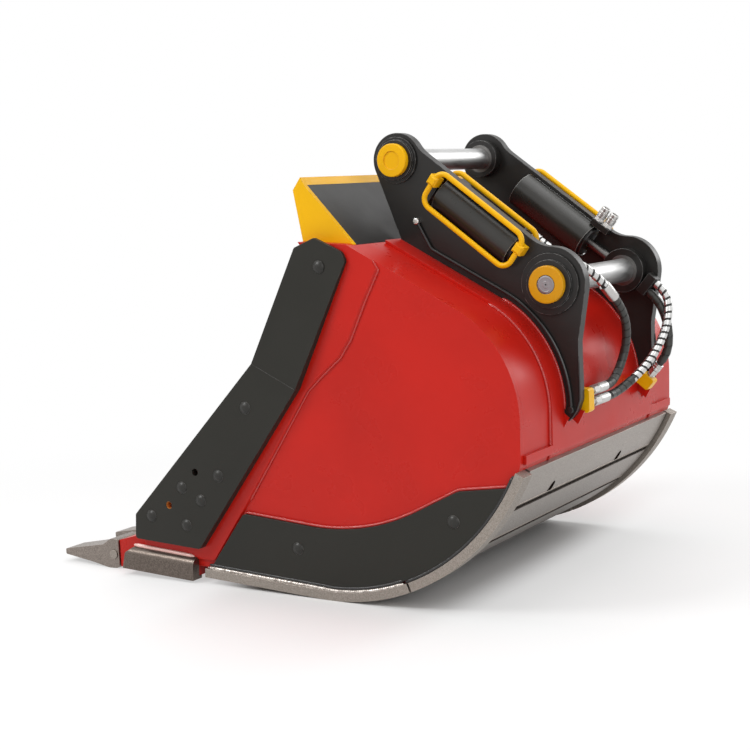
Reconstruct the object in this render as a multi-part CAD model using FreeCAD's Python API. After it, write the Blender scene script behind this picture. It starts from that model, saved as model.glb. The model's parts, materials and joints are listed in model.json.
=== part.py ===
"""Excavator bucket with two hanger ears, a pair of pins and two lock cylinders.

Millimetres. X runs from the teeth (minus) to the heel (plus), Y from the left side to the right side,
Z is up. Outlines are lists of corners (x, z, radius) in the side view. The finished pieces are moved
along X at the end, so that the origin is on the ground below the middle of the bucket.
"""
import FreeCAD
import Part

import math
import os

# Overall
WIDTH = 1000.0
ORIGIN_X = -25.0
SEAT_GAP = 0.3
SKIN = 12.0
SIDE_T = 16.0

# Size of the side view: the outlines below are drawn for one heel radius and grow with it from the lip
HEEL_R = 589.0
DRAWN_HEEL_R = 589.0
LIP_REAR_X = -300.0


def grown(x, z):
    """Point of the side view, moved with the heel radius."""
    scale = HEEL_R / DRAWN_HEEL_R
    return (LIP_REAR_X + (x - LIP_REAR_X) * scale, z * scale)


def grown_all(points):
    """Corner list of the side view, moved with the heel radius; a corner's own radius stays."""
    return [grown(p[0], p[1]) + tuple(p[2:]) for p in points]


# Shell profile, outer surface of the wrapper
STRIP_T = 24.0
HEEL_X = grown(147.0, 0.0)[0]
FLOOR_SLOPE = 2.8
HEEL_END = -24.4
HEEL_RUNOUT = 14.0
BACK_CORNER = grown(693.0, 668.0)
BACK_R = 300.0
BEND_R = 60.0
TOP_BEND = grown(228.0, 916.0)
TOP_BEND_R = 80.0
MOUTH_TOP = grown(85.0, 924.0)

# Lip, adapters and teeth; heights of the teeth are above the ground
LIP_T = 50.0
LIP_RISE = 20.0
LIP_FRONT_X = -560.0
LIP_BEVEL = 30.0
LIP_NOSE_T = 20.0
TEETH = 5
TOOTH_SIDE = 64.0
TOOTH_PITCH = (WIDTH - 2 * TOOTH_SIDE) / (TEETH - 1)
TOOTH_W = 94.0
TOOTH_TIP_W = 74.0
TOOTH_TIP_X = -812.0
TOOTH_TAPER_X = -650.0
TOOTH_BASE_X = -600.0
TOOTH_TIP_Z = (22.0, 38.0)
TOOTH_UNDER = [(-700.0, 10.0), (-636.0, 0.0, 30.0)]
TOOTH_BASE_Z = (2.0, 86.0)
TOOTH_OVER = [(-628.0, 86.0, 10.0), (-658.0, 66.0, 20.0)]
NOSE_X = -700.0
NOSE_TIP_Z = (30.0, 48.0)
NOSE_BASE_Z = (16.0, 72.0)
NOSE_R = 6.0
NOSE_WALL = 14.0
NOSE_GAP = 3.0
TOOTH_PIN_D = 26.0
TOOTH_PIN_AT = (-618.0, 41.0)
TOOTH_PIN_OUT = 3.0
ADAPTER_W = 84.0
ADAPTER_LEG_T = 22.0
ADAPTER_REAR_X = -430.0
ADAPTER_STEP_X = -520.0
ADAPTER_GAP = 2.0
ADAPTER_FACE_Z = 84.0

# Raised front zone of the side plates
RIM_T = 6.0
RIM_BEVEL = 6.0
RIM_LINE = grown_all([(301.0, 877.0), (318.0, 851.0), (278.0, 777.0), (229.0, 676.0), (197.0, 631.0),
                      (134.0, 578.0), (94.0, 541.0), (-126.0, 214.0), (-232.0, 66.0)])
FRONT_LINE = grown_all([(-478.0, 128.0), (-440.0, 190.0), (-30.0, 612.0), (100.0, 905.0)])

# Side cutters
CUTTER_T = 25.0
CUTTER_TILT = 2.2
CUTTER_SEAT_T = 11.25
CUTTER_FOLD = grown_all([(-62.0, 612.0), (72.0, 548.0)])
CUTTER = grown_all([(141.0, 934.0, 8.0), (81.0, 910.0, 10.0), (-62.0, 612.0, 0.0), (-485.0, 180.0, 8.0),
                    (-490.0, 111.0, 8.0), (-267.0, 100.0, 8.0), (72.0, 548.0, 30.0), (231.0, 874.0, 12.0),
                    (221.0, 898.0, 22.0)])
CUTTER_BOLTS = grown_all([(154.0, 861.0), (-89.0, 495.0), (-190.0, 307.0), (-316.0, 266.0),
                          (-253.0, 235.0), (-428.0, 179.0), (-307.0, 163.0)])
CUTTER_HOLES = grown_all([(-268.0, 312.0), (-365.0, 214.0)])

# Bolts
BOLT_D = 20.0
BOLT_HEAD_D = 34.0
BOLT_HEAD_H = 7.0
BOLT_END = 4.0
NUT_D = 32.0
NUT_H = 16.0
HOLE_GAP = 0.5

# Heel shrouds on the side plates
SHROUD_T = 14.0
SHROUD_EDGE = 8.0
SHROUD = grown_all([(-126.0, 205.0, 12.0), (255.0, 176.0, 600.0), (524.0, 313.0, 40.0), (664.0, 331.0, 8.0),
                    (760.0, 300.0, 0.0), (500.0, -60.0, 0.0), (-330.0, -60.0, 0.0), (-236.0, 56.0, 0.0)])
SHROUD_BOLTS = grown_all([(46.0, 127.0), (510.0, 237.0)])

# Edge strips and wear plates under the heel, with weld seams in the gaps between them
STRIP_W = 48.0
STRIP_OUT = 18.0
STRIP_FRONT_X = -262.0
STRIP_SPLIT = -67.0
STRIP_GAP_ANGLE = 0.6
WEAR_T = 12.0
WEAR_ANGLES = [-88.0, -48.0, -35.5, HEEL_END]
WEAR_SIDE_GAP = 12.0
SEAM_ANGLE = 1.6
SEAM_T = 5.0
NOTCH_ANGLE = 4.6
NOTCH_PLACES = (-246.0, 194.0)
NOTCH_W = 16.0

# Wing shrouds around the lip ends
WING_T = 28.0
WING_SOLE = 8.0
WING_H = 54.0
WING_R = 22.0
WING_X = (-547.0, -298.0)
WING_REACH = 12.0
WING_NOSE = (30.0, 8.0, 16.0)

# Saddle plate under the ears
SADDLE_T = 8.0
SADDLE_W = 670.0
SADDLE_START = 14.0
SADDLE_LIFT = 2.0
HEEL_BAND_H = 22.0

# Spill deflector
DEFLECTOR_T = 14.0
DEFLECTOR_W = 950.0
DEFLECTOR_SINK = 54.0
DEFLECTOR_TOP = grown(81.0, 1086.0)
DEFLECTOR_NOSE = grown(57.0, 1054.0)
DEFLECTOR_FOOT = grown(232.0, 914.0)
PANEL_T = 10.0
PANEL_HEAD = grown(92.0, 1066.0)
LIP_STRIP_T = 10.0
LIP_STRIP_ANGLE = -37.0

# Hanger ears
FRONT_PIN = grown(242.0, 1120.0)
PIN_SPACING = 535.0
EAR_SLOPE = 37.0
EAR_T = 28.0
EAR_IN = 234.0
FRONT_LOBE_R = 70.0
REAR_LOBE_R = 93.0
EAR_SPINE = 60.0
EAR_FILLET = 90.0
EAR_FOOT = grown(246.0, 918.0)
EAR_KNEE = grown(722.0, 548.0)
EAR_KNEE_R = 160.0
EAR_TIP = grown(692.0, 446.0)
EAR_TIP_R = 8.0
EAR_ROOT = grown_all([(600.0, 420.0), (230.0, 700.0)])

# Pins, bushes, bosses, caps
FRONT_PIN_D = 58.0
REAR_PIN_D = 65.0
RUN_GAP = 0.05
BUSH_T = 9.0
BOSS_STEP_R = (60.0, 77.0)
BOSS_RING_R = (52.0, 60.0)
BOSS_OUT = 14.0
BOSS_STEP = 6.0
BOSS_IN = 28.0
FRONT_CAP_R = 43.0
REAR_CAP_R = 47.0
CAP_T = 15.0
CAP_DISH = 3.0
CAP_DISH_R = 23.65
CAP_EDGE_R = 2.5
RING_EDGE_R = 3.0
SPIGOT_R = 23.5
SPIGOT_SHORT = 1.0
CENTRE_R = 2.0
CENTRE_DEPTH = 6.0

# Lock cylinders, measured along and across the line of the pins
CYL_Y = 225.0
CYL_D = 100.0
CYL_WALL = 10.0
CYL_START = 150.0
CYL_END = 398.0
CYL_HEAD = 22.0
LUG_D = 26.0
WINDOW_START = 138.0
WINDOW_END = 410.0
WINDOW_R = 12.0
GLAND_D = 86.0
GLAND_LEN = 16.0
FLANGE_T = 8.0
ROD_D = 24.0
PISTON_LEN = 30.0
PISTON_AT = 378.0
GROOVE_DEPTH = 4.0

# Guard loops beside the cylinders: start, end, low, high, stand-off from the ear
LOOP_D = 14.0
LOOP_R = 28.0
LOOP_OUTER = (130.0, 424.0, -38.0, 60.0, 24.0)
LOOP_INNER = (130.0, 424.0, -58.0, 62.0, 31.0)
CLAMP = 26.0
CLAMP_LIFT = 27.0
CLAMP_COVER = 3.5
CLAMP_BEVEL = 5.0

# Hydraulic blocks, couplers and lines
BLOCK = (42.0, 32.0, 60.0)
BLOCK_AT = grown(727.0, 502.0)
BLOCK_BEVEL = 5.0
TURNED_SIZE = (34.0, 32.0, 42.0)
TURNED_BEVEL = 4.0
PORT_FACE = 90.0
PORT_DEPTH = 26.0
PORT_SPAN = (-14.0, 44.0)
PORT_TURN = -40.0
PORT_W = 30.0
STUB_AT = 383.0
STUB_D = 26.0
STUB_REACH = 76.0
COUPLER_AT = (396.0, 426.0)
COUPLER_HEX = 24.0
COUPLER_D = 20.0
COUPLER_TIP_D = 16.0
COUPLER_STEPS = (10.0, 18.0, 14.0)
MANIFOLD = (382.0, 440.0)
MANIFOLD_H = 16.0
LINE_D = 9.0
LINE_LIFT = 20.0
LINE_TOP = grown(298.0, 961.0)
LINE_ENTRY_X = grown(338.0, 0.0)[0]
LINE_ENTRY_R = 30.0
LINE_END_Z = grown(0.0, 486.0)[1]
BALL_D = 17.0
BALL_WALL = 3.0
BALL_EDGE_R = 2.4
GUSSET_T = 12.0
GUSSET_OUTER = grown_all([(640.0, 474.0), (716.0, 474.0), (728.0, 462.0), (704.0, 408.0), (600.0, 408.0)])
GUSSET_INNER = grown_all([(640.0, 560.0), (704.0, 560.0), (736.0, 512.0), (704.0, 408.0), (600.0, 408.0)])

# Hoses: diameter, share of a run given to each bend, ferrules and the routes chosen along the real run
HOSE_D = 20.0
BEND_SHARE = 0.45
FERRULE_D = 26.0
ADAPTER_D = 22.0
STUB_END = (23.0, 0.0)
LONG_END = (88.0, 32.0)
SHORT_END = (34.0, 10.0)
HOSE_A = [(604.0, -181.0, 902.0), (635.9, -181.0, 877.9), (668.0, -172.0, 860.0), (698.0, -155.0, 841.0),
          (723.0, -131.0, 818.0), (740.0, -104.0, 790.0), (751.0, -75.0, 760.0), (757.0, -43.0, 732.0),
          (758.5, -11.0, 702.0), (755.0, 16.0, 667.0), (747.5, 34.0, 629.0), (738.5, 37.5, 592.0),
          (731.5, 24.5, 558.2), (728.0, -0.7, 533.0), (727.0, -34.0, 519.0), (727.0, -70.0, 519.0)]
HOSE_B = [(757.5, 219.0, 763.1), (788.8, 219.0, 736.8), (802.5, 207.9, 702.1), (805.5, 190.1, 665.2),
          (801.6, 168.1, 629.0), (792.8, 142.7, 595.2), (780.3, 114.2, 564.6), (765.6, 82.7, 538.2),
          (750.9, 48.2, 516.5), (738.5, 10.8, 500.3), (731.0, -29.1, 491.0), (731.0, -70.0, 491.0)]
HOSE_C = [(738.2, 219.0, 740.1), (762.0, 219.0, 720.1), (783.0, 213.0, 687.0),
          (798.0, 207.0, 648.0), (801.0, 205.0, 606.0), (792.7, 206.0, 568.1), (772.5, 206.0, 543.3)]
DRAWN_REAR_PIN = (669.27, 798.03)
DRAWN_BLOCK_AT = (727.0, 502.0)


def v(x, y, z):
    return FreeCAD.Vector(x, y, z)


def polar(centre, radius, angle):
    a = math.radians(angle)
    return (centre[0] + radius * math.cos(a), centre[1] + radius * math.sin(a))


def meet(p, angle_p, q, angle_q):
    """Crossing of two lines given by a point and an angle."""
    ax, az = math.cos(math.radians(angle_p)), math.sin(math.radians(angle_p))
    bx, bz = math.cos(math.radians(angle_q)), math.sin(math.radians(angle_q))
    det = ax * -bz + az * bx
    t = ((q[0] - p[0]) * -bz + (q[1] - p[1]) * bx) / det
    return (p[0] + ax * t, p[1] + az * t)


def corner(p):
    return (p[0], p[1], p[2] if len(p) > 2 else 0.0)


def path_edges(points, closed, at):
    """Edges of a corner list, each corner rounded by its radius; at(x, z) gives the space point."""
    pts = [corner(p) for p in points]
    n = len(pts)
    ends = []
    for i, (x, z, r) in enumerate(pts):
        if r <= 0 or (not closed and i in (0, n - 1)):
            ends.append(((x, z), None, (x, z)))
            continue
        px, pz, _ = pts[i - 1]
        qx, qz, _ = pts[(i + 1) % n]
        lp, lq = math.hypot(px - x, pz - z), math.hypot(qx - x, qz - z)
        ux, uz = (px - x) / lp, (pz - z) / lp
        wx, wz = (qx - x) / lq, (qz - z) / lq
        half = math.acos(max(-1.0, min(1.0, ux * wx + uz * wz))) / 2
        cut = r / math.tan(half)
        bx, bz = ux + wx, uz + wz
        bl = math.hypot(bx, bz)
        reach = r / math.sin(half) - r
        mid = (x + bx / bl * reach, z + bz / bl * reach)
        ends.append(((x + ux * cut, z + uz * cut), mid, (x + wx * cut, z + wz * cut)))
    edges = []
    for i, (start, mid, end) in enumerate(ends):
        if mid:
            edges.append(Part.Arc(at(*start), at(*mid), at(*end)).toShape())
        if i == n - 1 and not closed:
            break
        nxt = ends[(i + 1) % n][0]
        if math.hypot(nxt[0] - end[0], nxt[1] - end[1]) > 1e-4:
            edges.append(Part.makeLine(at(*end), at(*nxt)))
    return edges


def wire(points, y, closed=True):
    return Part.Wire(path_edges(points, closed, lambda x, z: v(x, y, z)))


def plate(points, y0, y1):
    """Plate between two Y values, cut to a closed outline."""
    return Part.Face(wire(points, y0)).extrude(v(0, y1 - y0, 0))


def offset(points, t):
    """Open corner list moved by t to the right of its direction of travel."""
    pts = [corner(p) for p in points]
    lines = []
    for (ax, az, _), (bx, bz, _) in zip(pts, pts[1:]):
        length = math.hypot(bx - ax, bz - az)
        dx, dz = (bx - ax) / length, (bz - az) / length
        lines.append(((ax + dz * t, az - dx * t), math.degrees(math.atan2(dz, dx)), length, dx, dz))
    out = [(lines[0][0][0], lines[0][0][1], 0.0)]
    for first, second, old in zip(lines, lines[1:], pts[1:]):
        x, z = meet(first[0], first[1], second[0], second[1])
        out.append((x, z, old[2] + t))
    last = lines[-1]
    out.append((last[0][0] + last[3] * last[2], last[0][1] + last[4] * last[2], 0.0))
    return out


def band(points, inner, outer, y0, y1):
    """Plate bent along an open corner list, between two offsets from it."""
    near = path_edges(offset(points, inner), False, lambda x, z: v(x, y0, z))
    far = path_edges(offset(points, outer), False, lambda x, z: v(x, y0, z))
    a, b = Part.Wire(near), Part.Wire(far)
    first = Part.makeLine(a.OrderedVertexes[0].Point, b.OrderedVertexes[0].Point)
    last = Part.makeLine(a.OrderedVertexes[-1].Point, b.OrderedVertexes[-1].Point)
    loop = Part.Wire(Part.__sortEdges__(near + far + [first, last]))
    return Part.Face(loop).extrude(v(0, y1 - y0, 0))


def sector(centre, r0, r1, a0, a1, y0, y1):
    """Curved strip about a Y axis between two radii and two angles."""
    mid = (a0 + a1) / 2
    edges = []
    for r in (r0, r1):
        pts = [v(polar(centre, r, a)[0], y0, polar(centre, r, a)[1]) for a in (a0, mid, a1)]
        edges.append(Part.Arc(*pts).toShape())
    for a in (a0, a1):
        p, q = polar(centre, r0, a), polar(centre, r1, a)
        edges.append(Part.makeLine(v(p[0], y0, p[1]), v(q[0], y0, q[1])))
    return Part.Face(Part.Wire(Part.__sortEdges__(edges))).extrude(v(0, y1 - y0, 0))


def bar(centre, radius, y0, y1):
    """Round bar along Y."""
    return Part.makeCylinder(radius, y1 - y0, v(centre[0], y0, centre[1]), v(0, 1, 0))


def tube(centre, outer, inner, y0, y1):
    return bar(centre, outer, y0, y1).cut(bar(centre, inner, y0 - 1, y1 + 1))


def box(x0, x1, y0, y1, z0, z1):
    return Part.makeBox(x1 - x0, y1 - y0, z1 - z0, v(x0, y0, z0))


def mirrored(shape):
    return shape.mirror(v(0, 0, 0), v(0, 1, 0))


def fuse(shapes):
    whole = shapes[0]
    for extra in shapes[1:]:
        whole = whole.fuse(extra)
    return whole.removeSplitter()


NODES = {}


def keep(name, shape):
    NODES[name] = shape


def keep_pair(name, left):
    keep(name + "_left", left)
    keep(name + "_right", mirrored(left))


def both_sides(name, left_shapes):
    """One node with the left pieces and their mirror images."""
    left = [solid for shape in left_shapes for solid in shape.Solids]
    keep(name, Part.makeCompound(left + [mirrored(solid) for solid in left]))


def pipe(points, radius):
    """Round bar along space points, each inner corner an arc as large as its two runs allow."""
    pts = [v(*p) for p in points]
    edges, radii = [], []
    here = pts[0]
    for before, at, after in zip(pts, pts[1:], pts[2:]):
        back, ahead = before - at, after - at
        run = min(back.Length, ahead.Length)
        back.normalize()
        ahead.normalize()
        turn = math.pi - back.getAngle(ahead)
        cut = BEND_SHARE * run
        r = cut / math.tan(turn / 2)
        start, end = at + back * cut, at + ahead * cut
        to_mid = back + ahead
        to_mid.normalize()
        mid = at + to_mid * (r / math.cos(turn / 2) - r)
        edges.append(Part.makeLine(here, start))
        edges.append(Part.Arc(start, mid, end).toShape())
        radii.append(r)
        here = end
    edges.append(Part.makeLine(here, pts[-1]))
    spine = Part.Wire(edges)
    first = pts[1] - pts[0]
    ring = Part.Wire([Part.makeCircle(radius, pts[0], first)])
    body = spine.makePipeShell([ring], True, False)
    return body, spine.Length, radii


HALF = WIDTH / 2
HEEL = (HEEL_X, STRIP_T + HEEL_R)
FLOOR_START = polar(HEEL, HEEL_R, -90.0 - FLOOR_SLOPE)
HEEL_TOP = polar(polar(HEEL, HEEL_R, HEEL_END), HEEL_RUNOUT, HEEL_END + 90.0)
HEEL_CORNER = meet(FLOOR_START, -FLOOR_SLOPE, HEEL_TOP, HEEL_END + 90.0)
SLOPE = math.tan(math.radians(FLOOR_SLOPE))


def floor_z(x):
    """Height of the wrapper's outer surface in front of the heel."""
    return FLOOR_START[1] - (x - FLOOR_START[0]) * SLOPE


def shell_path(front_x):
    return [(front_x, floor_z(front_x)), HEEL_CORNER + (HEEL_R,), HEEL_TOP + (BEND_R,),
            BACK_CORNER + (BACK_R,), TOP_BEND + (TOP_BEND_R,), MOUTH_TOP]


SHELL = shell_path(LIP_REAR_X)
REAR_PIN = polar(FRONT_PIN, PIN_SPACING, -EAR_SLOPE)
EAR_OUT = EAR_IN + EAR_T


def on_ear(along, across):
    """Side-view point measured along and across the line of the pins."""
    a = math.radians(EAR_SLOPE)
    return (FRONT_PIN[0] + along * math.cos(a) + across * math.sin(a),
            FRONT_PIN[1] - along * math.sin(a) + across * math.cos(a))


def along_bar(start, end, across, y, radius, inner=0.0):
    """Round bar or tube parallel to the line of the pins."""
    p, q = on_ear(start, across), on_ear(end, across)
    base, tip = v(p[0], y, p[1]), v(q[0], y, q[1])
    solid = Part.makeCylinder(radius, end - start, base, tip - base)
    if inner:
        solid = solid.cut(Part.makeCylinder(inner, end - start, base, tip - base))
    return solid


def envelope(t, y0, y1):
    """Everything inside the shell's outer surface moved out by t."""
    return plate(offset(shell_path(LIP_FRONT_X), t), y0, y1)


def bolt_group(places, y_head, y_nut):
    """Domed bolts through a plate stack on the left side, each with its nut."""
    solids = []
    for x, z in places:
        head_r = BOLT_HEAD_D / 2
        arc = Part.Arc(v(x, y_head - BOLT_HEAD_H, z),
                       v(x + head_r * 0.7, y_head - BOLT_HEAD_H * 0.62, z),
                       v(x + head_r, y_head, z)).toShape()
        base = Part.makeLine(v(x + head_r, y_head, z), v(x, y_head, z))
        axis = Part.makeLine(v(x, y_head, z), v(x, y_head - BOLT_HEAD_H, z))
        dome = Part.Face(Part.Wire([arc, base, axis])).revolve(v(x, 0, z), v(0, 1, 0), 360)
        shank = bar((x, z), BOLT_D / 2, y_head, y_nut + NUT_H + BOLT_END)
        corners = [polar((x, z), NUT_D / 2, k * 60) for k in range(7)]
        ring = Part.makePolygon([v(cx, y_nut, cz) for cx, cz in corners])
        nut = Part.Face(ring).extrude(v(0, NUT_H, 0))
        solids.append(fuse([dome, shank, nut]))
    return Part.makeCompound(solids)


def drill(shape, places, radius, y0, y1):
    for place in places:
        shape = shape.cut(bar(place, radius, y0, y1))
    return shape


def build_shell():
    inner = HALF - SIDE_T
    keep("wrapper", band(SHELL, -SKIN, 0.0, -inner, inner))

    low = LIP_RISE - LIP_T
    lip = [(LIP_REAR_X, floor_z(LIP_REAR_X) + LIP_RISE),
           (LIP_FRONT_X + LIP_BEVEL, floor_z(LIP_FRONT_X + LIP_BEVEL) + LIP_RISE),
           (LIP_FRONT_X, floor_z(LIP_FRONT_X) + low + LIP_NOSE_T),
           (LIP_FRONT_X, floor_z(LIP_FRONT_X) + low),
           (LIP_REAR_X, floor_z(LIP_REAR_X) + low)]
    keep("cutting_edge", plate(lip, -HALF, HALF))

    shell = path_edges(SHELL, False, lambda x, z: v(x, -HALF, z))
    first, last = FRONT_LINE[0], FRONT_LINE[-1]
    front = [MOUTH_TOP, last] + FRONT_LINE[-2::-1]
    front += [(first[0], floor_z(first[0]) + LIP_RISE), (LIP_REAR_X, floor_z(LIP_REAR_X) + LIP_RISE),
              (LIP_REAR_X, floor_z(LIP_REAR_X))]
    edges = [Part.makeLine(v(p[0], -HALF, p[1]), v(q[0], -HALF, q[1])) for p, q in zip(front, front[1:])]
    side = Part.Face(Part.Wire(Part.__sortEdges__(shell + edges))).extrude(v(0, SIDE_T, 0))
    holes = CUTTER_BOLTS + CUTTER_HOLES[1:]
    side = drill(side, holes + SHROUD_BOLTS, BOLT_D / 2 + HOLE_GAP, -HALF - 1, -inner + 1)
    keep_pair("side_plate", side)

    def rim_wire(y, back):
        moved = [(x - back, z + back / 2 if z > MOUTH_TOP[1] / 2 else z) for x, z in RIM_LINE]
        return wire([MOUTH_TOP, TOP_BEND] + moved
                    + [(LIP_REAR_X, floor_z(LIP_REAR_X) + LIP_RISE),
                       (first[0], floor_z(first[0]) + LIP_RISE)] + FRONT_LINE, y)

    rim = Part.makeLoft([rim_wire(-HALF, 0.0), rim_wire(-HALF - RIM_T, RIM_BEVEL)], True, True)
    rim = drill(rim, holes, BOLT_D / 2 + HOLE_GAP, -HALF - RIM_T - 1, -HALF + 1)
    keep_pair("side_rim", rim)


def build_cutters():
    y_in, y_out = -HALF - RIM_T, -HALF - RIM_T - CUTTER_T
    blade = plate(CUTTER, y_out, y_in)
    p, q = (v(a[0], y_out, a[1]) for a in CUTTER_FOLD)
    along = q - p
    length = along.Length
    along.normalize()
    tilt = math.radians(CUTTER_TILT)
    up = v(-along.z, 0, along.x) * math.cos(tilt) + v(0, math.sin(tilt), 0)
    start = p - along * length
    face = Part.Face(Part.makePolygon([start, start + along * length * 4,
                                       start + along * length * 4 + up * length * 5,
                                       start + up * length * 5, start]))
    blade = blade.cut(face.extrude(v(0, -CUTTER_T * 3, 0)))
    blade = drill(blade, CUTTER_BOLTS + CUTTER_HOLES, BOLT_D / 2 + HOLE_GAP, y_out - 1, y_in + 1)
    seats = CUTTER_BOLTS[:1]
    for place in seats:
        blade = blade.cut(bar(place, BOLT_HEAD_D / 2 + 1, y_out - 1, y_out + CUTTER_SEAT_T))
    keep_pair("side_cutter", blade)
    inside = -HALF + SIDE_T
    low = bolt_group(CUTTER_BOLTS[1:], y_out, inside)
    high = bolt_group(seats, y_out + CUTTER_SEAT_T, inside)
    both_sides("side_cutter_bolts", [low, high])


def notch(y, start):
    """Round-ended notch that runs up from the lower edge of a wear plate."""
    end = start + NOTCH_ANGLE
    low, high = HEEL_R - 1, HEEL_R + WEAR_T + 1
    run = sector(HEEL, low, high, start - SEAM_ANGLE / 2, end, y - NOTCH_W / 2, y + NOTCH_W / 2)
    p, q = polar(HEEL, low, end), polar(HEEL, high, end)
    return run.fuse(rod_between((p[0], y, p[1]), (q[0], y, q[1]), NOTCH_W / 2))


def build_heel():
    face_y = -HALF - SHROUD_T
    shroud = plate(SHROUD, face_y, -HALF).common(envelope(-SHROUD_EDGE, face_y - 1, -HALF + 1))
    shroud = drill(shroud, SHROUD_BOLTS, BOLT_D / 2 + HOLE_GAP, face_y - 1, -HALF + 1)
    keep_pair("heel_shroud", shroud)
    both_sides("heel_shroud_bolts", [bolt_group(SHROUD_BOLTS, face_y, -HALF + SIDE_T)])

    y0 = -HALF - STRIP_OUT
    floor_line = [(STRIP_FRONT_X, floor_z(STRIP_FRONT_X)), FLOOR_START]
    flat = band(floor_line, 0.0, STRIP_T, y0, y0 + STRIP_W)
    curve = sector(HEEL, HEEL_R, HEEL_R + STRIP_T, -90 - FLOOR_SLOPE, STRIP_SPLIT - STRIP_GAP_ANGLE,
                   y0, y0 + STRIP_W)
    both_sides("edge_strips_front", [fuse([flat, curve])])
    both_sides("edge_strips_rear", [sector(HEEL, HEEL_R, HEEL_R + STRIP_T, STRIP_SPLIT, HEEL_END,
                                           y0, y0 + STRIP_W)])

    strip = y0 + STRIP_W
    inner = strip + WEAR_SIDE_GAP
    plates = []
    last = len(WEAR_ANGLES) - 2
    for index in range(last + 1):
        a0 = WEAR_ANGLES[index] + (SEAM_ANGLE / 2 if index else 0.0)
        a1 = WEAR_ANGLES[index + 1] - (SEAM_ANGLE / 2 if index < last else 0.0)
        piece = sector(HEEL, HEEL_R, HEEL_R + WEAR_T, a0, a1, inner, -inner)
        if index == last:
            for y in NOTCH_PLACES:
                piece = piece.cut(notch(y, a0))
        plates.append(piece)
    keep("wear_plates", Part.makeCompound(plates))
    sides = sector(HEEL, HEEL_R, HEEL_R + SEAM_T, WEAR_ANGLES[0], HEEL_END, strip, inner)
    seams = [sides, mirrored(sides)]
    for a in WEAR_ANGLES[1:-1]:
        seams.append(sector(HEEL, HEEL_R, HEEL_R + SEAM_T, a - SEAM_ANGLE / 2, a + SEAM_ANGLE / 2,
                            inner, -inner))
    keep("wear_seams", fuse(seams))

    sole = -WING_SOLE
    low = HALF + WING_T
    profile = [v(0, -HALF + WING_REACH, 0), v(0, -HALF, 0), v(0, -HALF, WING_H),
               v(0, -low + WING_R, WING_H), v(0, -low, WING_H - WING_R), v(0, -low, sole),
               v(0, -HALF + WING_REACH, sole)]
    bow = v(0, -low + WING_R * (1 - math.sqrt(0.5)), WING_H - WING_R * (1 - math.sqrt(0.5)))
    edges = [Part.makeLine(profile[i], profile[(i + 1) % 7]) for i in (0, 1, 2, 4, 5, 6)]
    edges.append(Part.Arc(profile[3], bow, profile[4]).toShape())
    length = WING_X[1] - WING_X[0]
    wing = Part.Face(Part.Wire(Part.__sortEdges__(edges))).extrude(v(length, 0, 0))
    nose = Part.Face(Part.makePolygon([v(-1, 0, WING_H + 1), v(WING_NOSE[0], 0, WING_H + 1),
                                       v(WING_NOSE[1], 0, WING_H - WING_NOSE[2]),
                                       v(-1, 0, sole - 1), v(-1, 0, WING_H + 1)]))
    wing = wing.cut(nose.extrude(v(0, -WIDTH, 0)))
    wing.rotate(v(0, 0, 0), v(0, 1, 0), FLOOR_SLOPE)
    wing.translate(v(WING_X[0], 0, floor_z(WING_X[0]) + LIP_RISE - LIP_T))
    keep_pair("wing_shroud", wing.cut(NODES["side_rim_left"]))


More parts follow.
